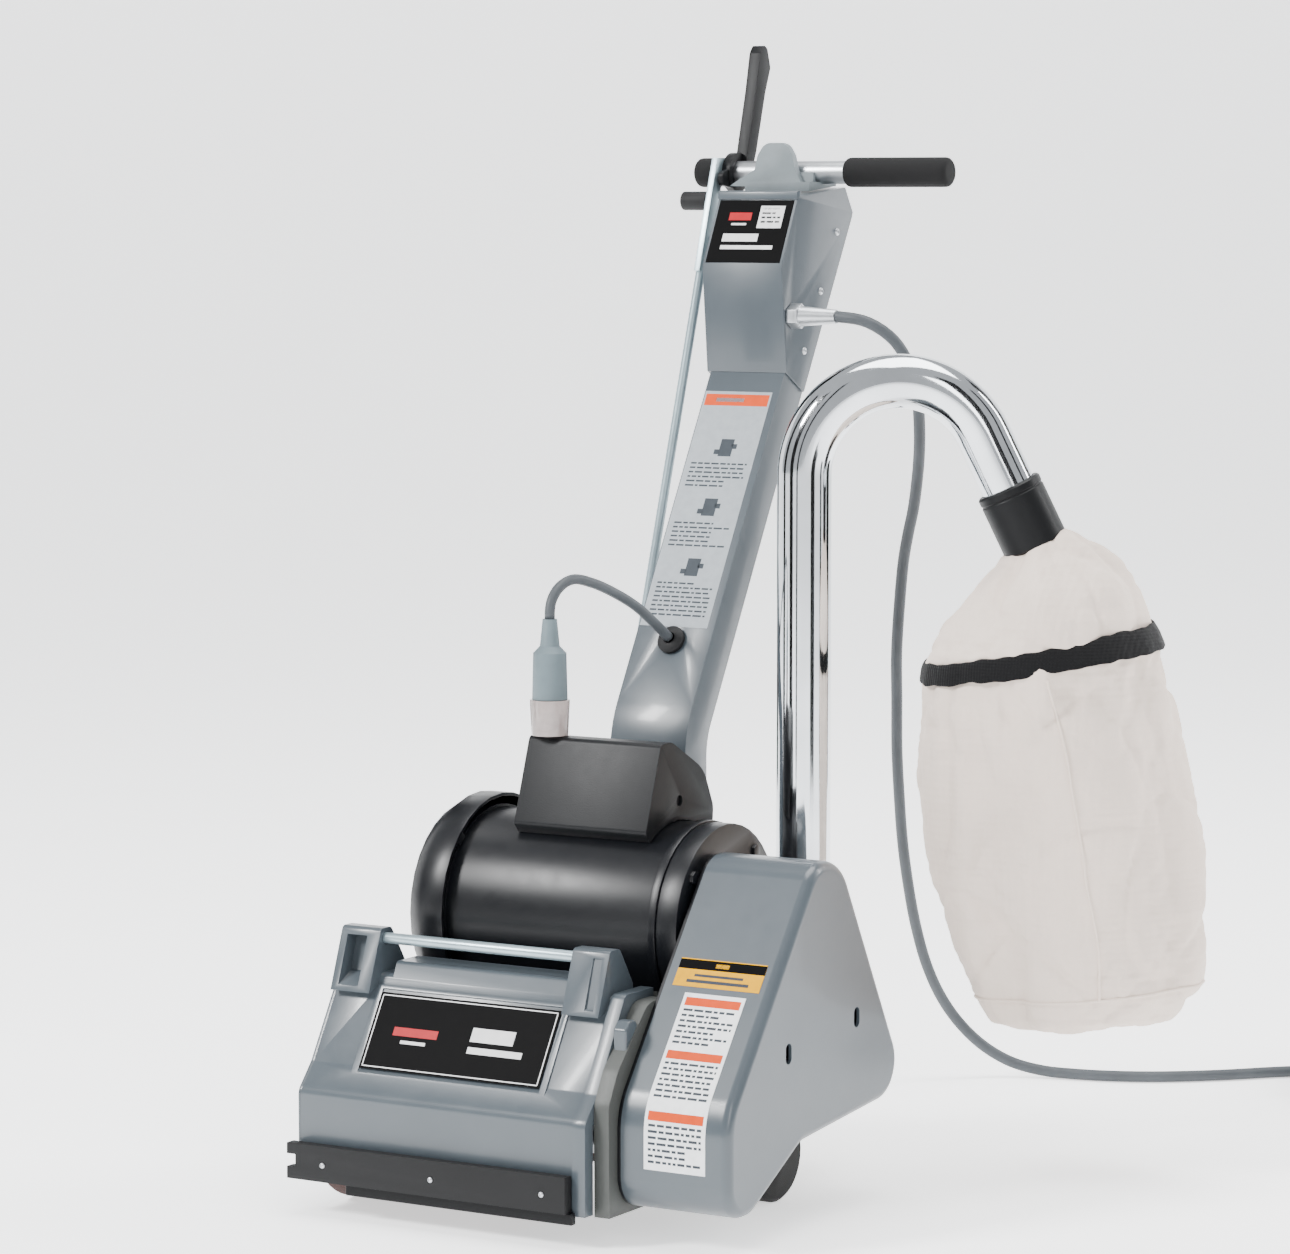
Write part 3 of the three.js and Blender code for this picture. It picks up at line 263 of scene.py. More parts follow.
def make_flags():
    """Dark cards round the object, seen only in its gloss, that give the chrome its dark streaks."""
    for number, (azimuth, half) in enumerate(FLAGS):
        a = math.radians(azimuth)
        out = Vector((math.cos(a), math.sin(a), 0)) * FLAG_DISTANCE
        side = Vector((-math.sin(a), math.cos(a), 0)) * FLAG_DISTANCE * math.tan(math.radians(half))
        mesh = bpy.data.meshes.new("flag")
        low, high = Vector((0, 0, 0.02)), Vector((0, 0, FLAG_HEIGHT))
        mesh.from_pydata([out - side + low, out + side + low, out + side + high, out - side + high], [], [(0, 1, 2, 3)])
        mesh.materials.append(MATERIAL["flag"])
        card = bpy.data.objects.new("flag_%d" % number, mesh)
        bpy.context.scene.collection.objects.link(card)
        card.visible_camera = False
        card.visible_diffuse = False
        card.visible_shadow = False
        card.visible_transmission = False


def make_floor():
    """A pale floor that curves up into a backdrop."""
    profile = [(-FLOOR_HALF, 0.0)]
    for i in range(13):
        a = math.pi / 2 * i / 12
        profile.append((BACK_Y + BACK_TURN * math.sin(a), BACK_TURN * (1 - math.cos(a))))
    profile.append((BACK_Y + BACK_TURN, 7.0))
    points = [(x, y, z - 0.0002) for x in (-FLOOR_HALF, FLOOR_HALF) for y, z in profile]
    n = len(profile)
    mesh = bpy.data.meshes.new("floor")
    mesh.from_pydata(points, [], [(i, n + i, n + i + 1, i + 1) for i in range(n - 1)])
    mesh.polygons.foreach_set("use_smooth", [True] * len(mesh.polygons))
    floor = bpy.data.objects.new("floor", mesh)
    bpy.context.scene.collection.objects.link(floor)
    floor.rotation_euler.z = math.radians(CAMERA_TURN)
    floor.data.materials.append(MATERIAL["floor"])


# ---- materials -------------------------------------------------------------------------------
MATERIAL = {}


class Nodes:
    """Short calls for wiring one material's nodes."""

    def __init__(self, name):
        self.material = bpy.data.materials.new(name)
        self.material.use_nodes = True
        self.tree = self.material.node_tree
        self.shader = self.tree.nodes["Principled BSDF"]
        self.coords = self.add("ShaderNodeTexCoord").outputs["Object"]

    def add(self, kind, **settings):
        node = self.tree.nodes.new(kind)
        for key, value in settings.items():
            setattr(node, key, value)
        return node

    def link(self, output, target):
        self.tree.links.new(output, target)

    def noise(self, scale, detail=4, roughness=0.55, stretch=None):
        """Noise over the surface, per metre; stretch scales its axes."""
        node = self.add("ShaderNodeTexNoise")
        node.inputs["Scale"].default_value = scale
        node.inputs["Detail"].default_value = detail
        node.inputs["Roughness"].default_value = roughness
        self.link(self.stretched(stretch), node.inputs["Vector"])
        return node.outputs["Fac"]

    def stretched(self, stretch):
        if stretch is None:
            return self.coords
        mapping = self.add("ShaderNodeMapping")
        mapping.inputs["Scale"].default_value = stretch
        self.link(self.coords, mapping.inputs["Vector"])
        return mapping.outputs["Vector"]

    def ramp(self, value, stops):
        node = self.add("ShaderNodeValToRGB")
        elements = node.color_ramp.elements
        while len(elements) < len(stops):
            elements.new(0.5)
        for element, (place, color) in zip(elements, stops):
            element.position = place
            element.color = (*color, 1) if len(color) == 3 else color
        self.link(value, node.inputs["Fac"])
        return node.outputs["Color"]

    def span(self, value, low, high):
        """The value's 0 to 1 turned into low to high."""
        node = self.add("ShaderNodeMapRange")
        node.inputs["To Min"].default_value = low
        node.inputs["To Max"].default_value = high
        self.link(value, node.inputs["Value"])
        return node.outputs["Result"]

    def mix(self, amount, a, b):
        node = self.add("ShaderNodeMix", data_type="RGBA")
        for key, source in (("Factor", amount), ("A", a), ("B", b)):
            socket = next(s for s in node.inputs if s.name == key and (key == "Factor" or s.type == "RGBA"))
            if isinstance(source, (tuple, list)):
                socket.default_value = (*source, 1)
            elif isinstance(source, (int, float)):
                socket.default_value = source
            else:
                self.link(source, socket)
        return next(s for s in node.outputs if s.type == "RGBA")

    def bump(self, height, distance, strength=1.0, below=None):
        node = self.add("ShaderNodeBump")
        node.inputs["Distance"].default_value = distance
        node.inputs["Strength"].default_value = strength
        self.link(height, node.inputs["Height"])
        if below is not None:
            self.link(below, node.inputs["Normal"])
        return node.outputs["Normal"]

    def set(self, **values):
        for key, value in values.items():
            socket = self.shader.inputs[key.replace("_", " ")]
            if hasattr(value, "links") or hasattr(value, "is_linked"):
                self.link(value, socket)
            else:
                socket.default_value = (*value, 1) if isinstance(value, tuple) and len(value) == 3 else value


def keep(nodes, name):
    MATERIAL[name] = nodes.material


def tone(color, factor):
    return tuple(min(1.0, c * factor) for c in color)


def make_paint(name, color, roughness, texture, coat=0.25, specular=0.5):
    """Sprayed paint: faint mottling, orange peel, and dust and rubs that change the gloss."""
    n = Nodes(name)
    mottle = n.noise(9, 5)
    base = n.ramp(mottle, [(0.3, tone(color, 0.93)), (0.7, tone(color, 1.06))])
    peel = n.noise(900, 2, 0.5)
    rubs = n.noise(60, 6, 0.65)
    n.set(Base_Color=base, Metallic=0.0, Roughness=n.span(rubs, roughness - 0.06, roughness + 0.09),
          Coat_Weight=coat, Coat_Roughness=0.12, Specular_IOR_Level=specular, Normal=n.bump(peel, texture, 0.35))
    keep(n, name)


def make_moulded(name, color, roughness, grain, specular=0.25):
    """Moulded plastic or rubber with a fine grain and uneven gloss."""
    n = Nodes(name)
    patches = n.noise(25, 4)
    base = n.ramp(patches, [(0.3, tone(color, 0.85)), (0.75, tone(color, 1.18))])
    skin = n.noise(1600, 3, 0.6)
    n.set(Base_Color=base, Roughness=n.span(patches, roughness - 0.07, roughness + 0.07),
          Specular_IOR_Level=specular, Normal=n.bump(skin, grain, 0.5))
    keep(n, name)


def make_metal(name, color, roughness, streak, metallic=1.0):
    """Bare or plated metal with fine drawn lines and a little tarnish."""
    n = Nodes(name)
    lines = n.noise(400, 3, 0.6, streak)
    tarnish = n.noise(18, 5)
    base = n.ramp(tarnish, [(0.35, tone(color, 0.86)), (0.7, color)])
    n.set(Base_Color=base, Metallic=metallic, Roughness=n.span(lines, roughness - 0.05, roughness + 0.08),
          Normal=n.bump(lines, 0.00003, 0.25))
    keep(n, name)


def make_cloth(name, color, threads=900, depth=0.00035):
    """Plain woven cloth: two sets of threads, with slubs and soft stains."""
    n = Nodes(name)
    waves = []
    for axis in ("X", "Z"):
        wave = n.add("ShaderNodeTexWave", wave_type="BANDS", bands_direction=axis)
        wave.inputs["Scale"].default_value = threads / 20
        wave.inputs["Distortion"].default_value = 1.2
        wave.inputs["Detail"].default_value = 2
        n.link(n.coords, wave.inputs["Vector"])
        waves.append(wave.outputs["Fac"])
    weave = n.add("ShaderNodeMath", operation="ADD")
    n.link(waves[0], weave.inputs[0])
    n.link(waves[1], weave.inputs[1])
    stains = n.noise(7, 6, 0.6)
    slubs = n.noise(160, 4, 0.7, (1, 1, 0.2))
    base = n.ramp(stains, [(0.25, tone(color, 0.9)), (0.5, color), (0.8, tone(color, 1.05))])
    tinted = n.mix(n.span(slubs, 0.0, 0.22), base, tone(color, 0.72))
    creases = n.noise(34, 7, 0.62)
    soft = n.bump(creases, 0.004, 0.55)
    n.set(Base_Color=tinted, Roughness=0.92, Sheen_Weight=0.08, Sheen_Roughness=0.5, Specular_IOR_Level=0.15,
          Normal=n.bump(weave.outputs["Value"], depth, 0.5, soft))
    keep(n, name)


def make_abrasive():
    n = Nodes("abrasive")
    cells = n.add("ShaderNodeTexVoronoi")
    cells.inputs["Scale"].default_value = 900
    n.link(n.coords, cells.inputs["Vector"])
    base = n.ramp(cells.outputs["Distance"], [(0.1, (0.085, 0.024, 0.016)), (0.6, (0.03, 0.010, 0.008))])
    n.set(Base_Color=base, Roughness=0.85, Normal=n.bump(cells.outputs["Distance"], 0.0006, 0.8))
    keep(n, "abrasive")


def make_floor_material():
    n = Nodes("floor")
    soft = n.noise(3, 3)
    n.set(Base_Color=n.ramp(soft, [(0.3, (0.93, 0.935, 0.94)), (0.7, (0.95, 0.955, 0.96))]),
          Roughness=0.75, Specular_IOR_Level=0.2, Emission_Color=(1.0, 1.0, 1.0), Emission_Strength=1.0)
    keep(n, "floor")


def make_flag_material():
    n = Nodes("flag")
    n.set(Base_Color=n.ramp(n.noise(5), [(0.3, (0.004, 0.004, 0.004)), (0.7, (0.006, 0.006, 0.006))]),
          Roughness=1.0, Specular_IOR_Level=0.0)
    keep(n, "flag")


def make_clear_plastic():
    n = Nodes("clear_plastic")
    cloudy = n.noise(70, 3)
    n.set(Base_Color=n.ramp(cloudy, [(0.3, (0.34, 0.285, 0.27)), (0.7, (0.45, 0.39, 0.37))]), Roughness=0.14,
          Transmission_Weight=0.45, IOR=1.46, Coat_Weight=0.4)
    keep(n, "clear_plastic")


def make_materials():
    make_floor_material()
    make_flag_material()
    make_paint("body_paint", (0.052, 0.065, 0.076), 0.30, 0.00010)
    make_paint("black_paint", (0.003, 0.0035, 0.005), 0.33, 0.000015, coat=0.0, specular=0.35)
    make_paint("wiring_paint", (0.004, 0.0045, 0.0055), 0.40, 0.00025, coat=0.0, specular=0.22)
    make_moulded("black_plastic", (0.004, 0.0043, 0.005), 0.42, 0.00012, specular=0.16)
    make_moulded("grey_plastic", (0.155, 0.180, 0.190), 0.50, 0.00015)
    make_moulded("connector_grey", (0.115, 0.150, 0.165), 0.50, 0.00015)
    make_moulded("black_rubber", (0.007, 0.0072, 0.0078), 0.60, 0.00025)
    make_moulded("foam", (0.006, 0.006, 0.0064), 0.85, 0.0009)
    make_moulded("wheel_rubber", (0.009, 0.009, 0.009), 0.70, 0.0003)
    make_moulded("cord_jacket", (0.060, 0.067, 0.074), 0.48, 0.00012)
    make_moulded("switch_red", (0.42, 0.018, 0.015), 0.28, 0.00004)
    make_metal("zinc_steel", (0.58, 0.60, 0.62), 0.34, (1, 1, 0.05))
    make_metal("chrome", (0.74, 0.77, 0.80), 0.07, (1, 1, 0.02))
    make_metal("cast_metal", (0.060, 0.064, 0.060), 0.50, (1, 1, 1), metallic=0.2)
    make_metal("rod_steel", (0.40, 0.50, 0.54), 0.32, (1, 1, 0.03), 0.75)
    make_cloth("bag_cloth", (0.74, 0.63, 0.55))
    make_cloth("bag_elastic", (0.005, 0.005, 0.0055), threads=2200, depth=0.0004)
    make_abrasive()
    make_clear_plastic()


make_materials()
make_floor()
make_flags()
make_lights()
for cord in (MAINS_LEAD, MOTOR_LEAD):
    cord.data.materials.append(MATERIAL["cord_jacket"])


def shade(bm, sharp=35):
    """Smooth faces, with a crease along every edge sharper than the angle."""
    for face in bm.faces:
        face.smooth = True
    for edge in bm.edges:
        edge.smooth = len(edge.link_faces) == 2 and edge.calc_face_angle(0) < math.radians(sharp)


# ---- shapes ------------------------------------------------------------------------------------


def rounded(corners, steps=8):
    """An outline through corners (u, v) or (u, v, radius), each radius as an arc."""
    outline = []
    for i, corner in enumerate(corners):
        here = Vector(corner[:2])
        if len(corner) == 2:
            outline.append(here)
            continue
        back = (Vector(corners[i - 1][:2]) - here).normalized()
        ahead = (Vector(corners[(i + 1) % len(corners)][:2]) - here).normalized()
        half = back.angle(ahead) / 2
        centre = here + (back + ahead).normalized() * corner[2] / math.sin(half)
        reach = corner[2] / math.tan(half)
        first, last = here + back * reach - centre, here + ahead * reach - centre
        turn = math.atan2(first.cross(last), first.dot(last))
        for k in range(steps + 1):
            a = turn * k / steps
            outline.append(centre + Vector((first.x * math.cos(a) - first.y * math.sin(a),
                                            first.x * math.sin(a) + first.y * math.cos(a))))
    return outline


def inset(outline, distance):
    """The outline moved inwards by the distance; it runs anticlockwise."""
    moved = []
    for i, here in enumerate(outline):
        a = (here - outline[i - 1]).normalized()
        b = (outline[(i + 1) % len(outline)] - here).normalized()
        side = Vector((-a.y - b.y, a.x + b.x)).normalized()
        moved.append(here + side * distance / max(0.35, side.dot(Vector((-a.y, a.x)))))
    return moved


def new_piece(name, bm, look, body, replaced=(), sharp=35):
    """A mesh object from bm, with its material and its body; the CAD nodes it stands for are hidden."""
    bmesh.ops.recalc_face_normals(bm, faces=bm.faces)
    shade(bm, sharp)
    mesh = bpy.data.meshes.new(name)
    bm.to_mesh(mesh)
    bm.free()
    obj = bpy.data.objects.new(name, mesh)
    bpy.context.scene.collection.objects.link(obj)
    mesh.materials.append(MATERIAL[look])
    obj.modifiers.new("normals", "WEIGHTED_NORMAL").keep_sharp = True
    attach(obj, body)
    if replaced:
        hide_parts(*replaced)
    return obj


def add_loft(bm, rings, closed=False):
    """Faces between rings of equal count, with caps on the ends unless the rings close on themselves."""
    made = [[bm.verts.new(p) for p in ring] for ring in rings]
    pairs = list(zip(made, made[1:])) + ([(made[-1], made[0])] if closed else [])
    count = len(made[0])
    for a, b in pairs:
        for i in range(count):
            j = (i + 1) % count
            bm.faces.new((a[i], a[j], b[j], b[i]))
    if not closed:
        bm.faces.new(list(reversed(made[0])))
        bm.faces.new(made[-1])
    return made


def add_plate(bm, outline, x0, x1, edge0=0.0, edge1=0.0, steps=5):
    """A plate across X with rounded edges at either face."""
    rings = []
    for x, edge, way in ((x0, edge0, 1), (x1, edge1, -1)):
        arc = range(steps + 1) if edge else [0]
        ring_set = []
        for k in arc:
            a = math.pi / 2 * k / steps
            pull = edge * (1 - math.sin(a))
            ring_set.append([at(x + way * edge * (1 - math.cos(a)), p.x, p.y) for p in inset(outline, pull)])
        rings += ring_set if way == 1 else list(reversed(ring_set))
    add_loft(bm, rings)


def circle(r, count):
    return [(r * math.cos(2 * math.pi * i / count), r * math.sin(2 * math.pi * i / count)) for i in range(count)]


def add_lathe(bm, profile, centre, axis, count=64, closed=False):
    """A turned shape from (along, radius) pairs in millimetres about an axis through centre."""
    axis = Vector(axis).normalized()
    u = axis.orthogonal().normalized()
    v = axis.cross(u)
    rings = []
    for along, r in profile:
        rings.append([centre + (axis * along + u * a + v * b) * MM for a, b in circle(max(r, 0.05), count)])
    add_loft(bm, rings, closed)


def add_tube(bm, path, radius, count=24):
    """A round tube along path (Vectors in metres); radius is one number or one for each point."""
    side = None
    rings = []
    for i, p in enumerate(path):
        ahead = (path[min(i + 1, len(path) - 1)] - path[max(i - 1, 0)]).normalized()
        side = (ahead.orthogonal() if side is None else side - ahead * side.dot(ahead)).normalized()
        other = ahead.cross(side)
        r = radius[i] if isinstance(radius, list) else radius
        rings.append([p + (side * a + other * b) * MM for a, b in circle(r, count)])
    add_loft(bm, rings)


def cut_with(obj, cutter_bm):
    """The piece with the cutter's shape taken away."""
    bmesh.ops.recalc_face_normals(cutter_bm, faces=cutter_bm.faces)
    mesh = bpy.data.meshes.new("cutter")
    cutter_bm.to_mesh(mesh)
    cutter_bm.free()
    cutter = bpy.data.objects.new("cutter", mesh)
    bpy.context.scene.collection.objects.link(cutter)
    modifier = obj.modifiers.new("cut", "BOOLEAN")
    modifier.object = cutter
    modifier.solver = "EXACT"
    bpy.context.view_layer.update()
    result = bpy.data.meshes.new_from_object(obj.evaluated_get(bpy.context.evaluated_depsgraph_get()))
    obj.modifiers.remove(modifier)
    bpy.data.objects.remove(cutter)
    obj.data = result
    bm = bmesh.new()
    bm.from_mesh(result)
    shade(bm)
    bm.to_mesh(result)
    bm.free()


# ---- printed labels ----------------------------------------------------------------------------


def add_slab(bm, place, u0, u1, v0, v1, low, high, material, step=4.0):
    """A thin closed slab over u and v, bent to the surface that place(u, v, lift) gives."""
    count = max(1, math.ceil((v1 - v0) / step))
    rings = []
    for i in range(count + 1):
        v = v0 + (v1 - v0) * i / count
        rings.append([place(u0, v, low), place(u1, v, low), place(u1, v, high), place(u0, v, high)])
    before = len(bm.faces)
    add_loft(bm, rings)
    bm.faces.ensure_lookup_table()
    for face in bm.faces[before:]:
        face.material_index = material


def text_lines(u0, u1, v0, v1, pitch, height, seed):
    """Rows of short strokes that stand for small print."""
    rows = []
    v = v1 - height
    k = seed
    while v >= v0:
        u = u0
        end = u1 - (u1 - u0) * (0.0 if (k // 3) % 4 else 0.3)
        while u < end - 1.5:
            k = (k * 1103515245 + 12345) % 2147483648
            width = 3.0 + (k >> 16) % 7
            rows.append((u, min(u + width, end), v, v + height))
            u += width + 1.6
        v -= pitch
    return rows


def make_label(name, place, size, looks, blocks, body, thick=0.35):
    """A label: its sheet, then blocks (u0, u1, v0, v1, look number) printed a hair above it."""
    bm = bmesh.new()
    add_slab(bm, place, 0, size[0], 0, size[1], -0.1, thick, 0)
    for u0, u1, v0, v1, look in blocks:
        add_slab(bm, place, u0, u1, v0, v1, thick - 0.1, thick + 0.06, look)
    label = new_piece(name, bm, looks[0], body)
    for look in looks[1:]:
        label.data.materials.append(MATERIAL[look])
    return label


def flat_place(origin, u, v):
    """place() for a flat face: origin in millimetres, u and v as unit directions."""
    origin, u, v = Vector(origin), Vector(u).normalized(), Vector(v).normalized()
    normal = u.cross(v)
    return lambda a, b, lift: at(*(origin + u * a + v * b + normal * lift))


GUARD_LINE = [(-66, 31, 30), (-24, 31, 28), (63, 78, 40), (258, 95, 34), (132, 317, 46), (84, 317, 34),
              (-66, 120, 60)]
GUARD_X = (207, 313)


def guard_front(low, high):
    """The guard's front edge as (y, z, distance) from low on the upright to high on the slope."""
    arc = rounded(GUARD_LINE, 16)[-17:]
    points = [Vector((-66, low)), *reversed(arc)] if arc[0].y > arc[-1].y else [Vector((-66, low)), *arc]
    direction = (Vector((84, 317)) - Vector((-66, 120))).normalized()
    points.append(Vector((-66, 120)) + direction * high)
    return points


def along_points(points):
    """place(u, v, lift) on the surface swept across X from a line of (y, z) points."""
    lengths = [0.0]
    for a, b in zip(points, points[1:]):
        lengths.append(lengths[-1] + (b - a).length)

    def place(x, v, lift):
        v = min(max(v, 0.0), lengths[-1] - 1e-6)
        i = max(k for k in range(len(points) - 1) if lengths[k] <= v + 1e-9)
        t = (v - lengths[i]) / (lengths[i + 1] - lengths[i])
        here = points[i].lerp(points[i + 1], t)
        ahead = (points[min(i + 2, len(points) - 1)] - points[max(i - 1, 0)]).normalized()
        flat = (points[i + 1] - points[i]).normalized()
        direction = (flat + ahead * 0.5).normalized()
        return at(x, here.x - direction.y * lift, here.y + direction.x * lift)

    return place, lengths[-1]


def make_guard_labels():
    place, length = along_points(guard_front(70, 165))
    top = length - 18
    warn = [(0, 85, 17, 26, 1)]
    warn += [(12, 73, 4, 7, 2), (18, 66, 10, 12.5, 2), (36, 49, 19.5, 23.5, 0)]
    make_label("guard_notice_upper", lambda u, v, lift: place(215 + u, top - 27 + v, lift), (85, 27),
               ["print_yellow", "print_black", "print_grey"], warn, "base")
    height = top - 33
    blocks = []
    for k, low in enumerate((1.0, 0.66, 0.31)):
        v = height * low - (8 if k == 0 else 4)
        blocks.append((3, 57, v - 4, v + 4, 1))
        for u0, u1, v0, v1 in text_lines(4, 56, v - height * 0.27, v - 7, 5.2, 2.2, 7 + k):
            blocks.append((u0, u1, v0, v1, 2))
    make_label("guard_notice_lower", lambda u, v, lift: place(230 + u, v, lift), (60, height),
               ["print_white", "print_orange", "print_grey"], blocks, "base")


def make_badges():
    down = Vector((0, -35.2 + 72.7, 191.2 - 129.6)).normalized()
    place = flat_place((-57, -72.7, 129.6), (1, 0, 0), down)
    wide, tall = 186.0, 72.0
    blocks = [(2.0, wide - 2, 2.0, 3.0, 1), (2.0, wide - 2, tall - 3.0, tall - 2.0, 1)]
    blocks += [(2.0, 3.0, 2.0, tall - 2, 1), (wide - 3, wide - 2, 2.0, tall - 2, 1)]
    blocks += [(24, 70, 33, 41, 2), (34, 60, 26, 29, 1), (104, 160, 24, 30, 1), (104, 148, 35, 48, 1)]
    make_label("cover_badge", place, (wide, tall), ["print_black", "print_silver", "print_red"], blocks, "base")
    up = Vector((0, 430.4 - 401.6, 885 - 826.4)).normalized()
    place = flat_place((16.5, 401.6, 826.4), (1, 0, 0), up)
    wide, tall = 80.0, 65.0
    blocks = [(46, 72, 36, 59, 1), (14, 38, 44, 52, 2), (18, 34, 39, 41, 1), (12, 68, 14, 18, 1), (12, 50, 22, 30, 1)]
    blocks += [(u0 + 49, u1 + 49, v0, v1, 0) for u0, u1, v0, v1 in text_lines(0, 20, 39, 57, 4.5, 2, 5)]
    make_label("control_label", place, (wide, tall), ["print_black", "print_silver", "print_red"], blocks, "base")


COLUMN_START = (226, 403.8)
COLUMN_LEAN = math.radians(29.8)


def on_column(along, deep):
    """(y, z) of a place along the column's front face and deep behind it."""
    s, c = math.sin(COLUMN_LEAN), math.cos(COLUMN_LEAN)
    return COLUMN_START[0] + along * s + deep * c, COLUMN_START[1] + along * c - deep * s


def make_column_label():
    up = (0, math.sin(COLUMN_LEAN), math.cos(COLUMN_LEAN))
    place = flat_place((19, *on_column(104, 0)), (1, 0, 0), up)
    wide, tall = 72.0, 244.0
    blocks = [(2, wide - 2, tall - 15, tall - 3, 1), (14, 44, tall - 11, tall - 7, 0)]
    for k, v in enumerate((174, 112, 50)):
        blocks += [(32, 46, v + 2, v + 20, 2), (27, 33, v + 4, v + 9, 2), (44, 50, v + 10, v + 15, 2)]
        for u0, u1, v0, v1 in text_lines(6, 66, v - 34 if k < 2 else v - 42, v - 5, 4.6, 1.7, 11 + k):
            blocks.append((u0, u1, v0, v1, 2))
    make_label("column_notice", place, (wide, tall), ["print_pale", "print_orange", "print_grey"], blocks, "base")


# ---- dust pipe and bag -------------------------------------------------------------------------
PIPE = (191, 280)
PIPE_R = 24.6
PIPE_LOW, PIPE_STRAIGHT, PIPE_BEND = 112, 638, 85
HOOK_TURN = math.radians(30)
HOOK_LEAN = math.radians(25.5)
LEG, COLLAR, BARE = 91, 60, 51
BAG_LEVELS = [
    # distance out from the pipe's axis, height, half width, half depth
    (214, 480, 107, 82), (224, 425, 122, 86), (238, 355, 126, 88), (250, 285, 126, 88), (261, 225, 117, 86),
    (267, 175, 104, 80), (262, 148, 84, 70),
]


def in_hook(out, z, deep=0.0):
    """A place in the plane of the pipe's bend, out from the upright, and deep across it."""
    s, c = math.sin(HOOK_TURN), math.cos(HOOK_TURN)
    return at(PIPE[0] + out * c - deep * s, PIPE[1] + out * s + deep * c, z)


def leg_point(along):
    end = math.pi - HOOK_LEAN
    out = PIPE_BEND * (1 - math.cos(end)) + along * math.sin(HOOK_LEAN)
    return in_hook(out, PIPE_STRAIGHT + PIPE_BEND * math.sin(end) - along * math.cos(HOOK_LEAN))


def make_pipe():
    path = [in_hook(0, z) for z in range(PIPE_LOW, PIPE_STRAIGHT, 40)]
    end = math.pi - HOOK_LEAN
    for k in range(65):
        a = end * k / 64
        path.append(in_hook(PIPE_BEND * (1 - math.cos(a)), PIPE_STRAIGHT + PIPE_BEND * math.sin(a)))
    path.append(leg_point(LEG - 2))
    bm = bmesh.new()
    add_tube(bm, path, PIPE_R, 72)
    new_piece("dust_pipe_finished", bm, "chrome", "base", ["dust_pipe"])
    axis = leg_point(1) - leg_point(0)
    bm = bmesh.new()
    profile = [(0, 25.2), (0, 28.2), (1.8, 30), (7, 30), (8, 29.2), (9, 29.2), (10, 30), (COLLAR - 2, 30),
               (COLLAR, 28.2), (COLLAR, 25.2)]
    add_lathe(bm, profile, leg_point(BARE), axis, 72, closed=True)
    new_piece("pipe_collar_finished", bm, "black_plastic", "base", ["pipe_collar"])


def bag_rows():
    """The bag's rings: tilted with the pipe's end leg at the neck, level near the bottom."""
    end = math.pi - HOOK_LEAN
    along = BARE + COLLAR - 5
    neck_out = PIPE_BEND * (1 - math.cos(end)) + along * math.sin(HOOK_LEAN)
    neck_z = PIPE_STRAIGHT + PIPE_BEND * math.sin(end) - along * math.cos(HOOK_LEAN)
    tilt = math.tan(HOOK_LEAN)
    top = [(neck_out, neck_z, 30.8 * math.cos(HOOK_LEAN), 30.8, tilt),
           (neck_out + 1, neck_z - 9, 35, 35, tilt), (neck_out, neck_z - 24, 54, 48, 0.42),
           (209, 528, 80, 68, 0.33), (211, 505, 95, 78, 0.24)]
    rest = [(*row, 0.2 * min(max((row[1] - 225) / 300, 0), 1)) for row in BAG_LEVELS]
    return top + rest


def bag_row(z):
    """(out, half width, half depth, lean) at a height, eased between the rows."""
    i = next((k for k in range(len(BAG_ROWS) - 1) if BAG_ROWS[k + 1][1] <= z), len(BAG_ROWS) - 2)
    rows = [BAG_ROWS[max(i - 1, 0)], BAG_ROWS[i], BAG_ROWS[i + 1], BAG_ROWS[min(i + 2, len(BAG_ROWS) - 1)]]
    t = min(max((rows[1][1] - z) / (rows[1][1] - rows[2][1]), 0), 1)
    values = []
    for column in (0, 2, 3, 4):
        a, b, c, d = (row[column] for row in rows)
        values.append(b + 0.5 * t * (c - a + t * (2 * a - 5 * b + 4 * c - d + t * (3 * (b - c) + d - a))))
    return values


BAG_ROWS = bag_rows()
BAG_AROUND = 96
BAG_DOWN = 76
BAG_TOP, BAG_BOTTOM = BAG_ROWS[0][1], 150
BAND_LOW, BAND_HIGH = 468, 487


def bag_point(z, angle, grow=0.0):
    """A place on the bag: round at the neck, creased at four corners below it."""
    out, wide, deep, lean = bag_row(z)
    down = smooth((520 - z) / 110)
    corners = abs(math.cos(2 * angle)) ** 0.6
    power = 1.0 - 0.04 * down
    size = 1 - 0.075 * down * (1 - corners)
    gather = smooth((z - 505) / 30) * smooth((BAG_TOP - z) / 12)
    size *= 1 + gather * 0.035 * (math.sin(7 * angle + 0.7) + 0.7 * math.sin(13 * angle + 2.1))
    size *= 1 - 0.03 * math.exp(-((z - (BAND_LOW + BAND_HIGH) / 2) / 13) ** 2)
    c, s = math.cos(angle), math.sin(angle)
    w = math.copysign(abs(c) ** power, c) * (wide * size + grow)
    d = math.copysign(abs(s) ** power, s) * ((deep + 10 * down) * size + grow)
    return in_hook(out + w, z + w * lean, d)


def add_bag_rings(bm):
    rings = []
    for k in range(BAG_DOWN + 1):
        z = BAG_TOP + (BAG_BOTTOM - BAG_TOP) * k / BAG_DOWN
        rings.append([bag_point(z, 2 * math.pi * i / BAG_AROUND) for i in range(BAG_AROUND)])
    last = rings[-1]
    middle = sum(last, Vector()) / BAG_AROUND
    for k in range(1, 16):
        t = 1 - k / 16
        drop = Vector((0, 0, -4 * MM * (1 - t ** 6)))
        rings.append([middle.lerp(p, t) + drop for p in last])
    add_loft(bm, rings)


CRUMPLE_SEED = 5        # noise_vector starts from the clock unless it is seeded


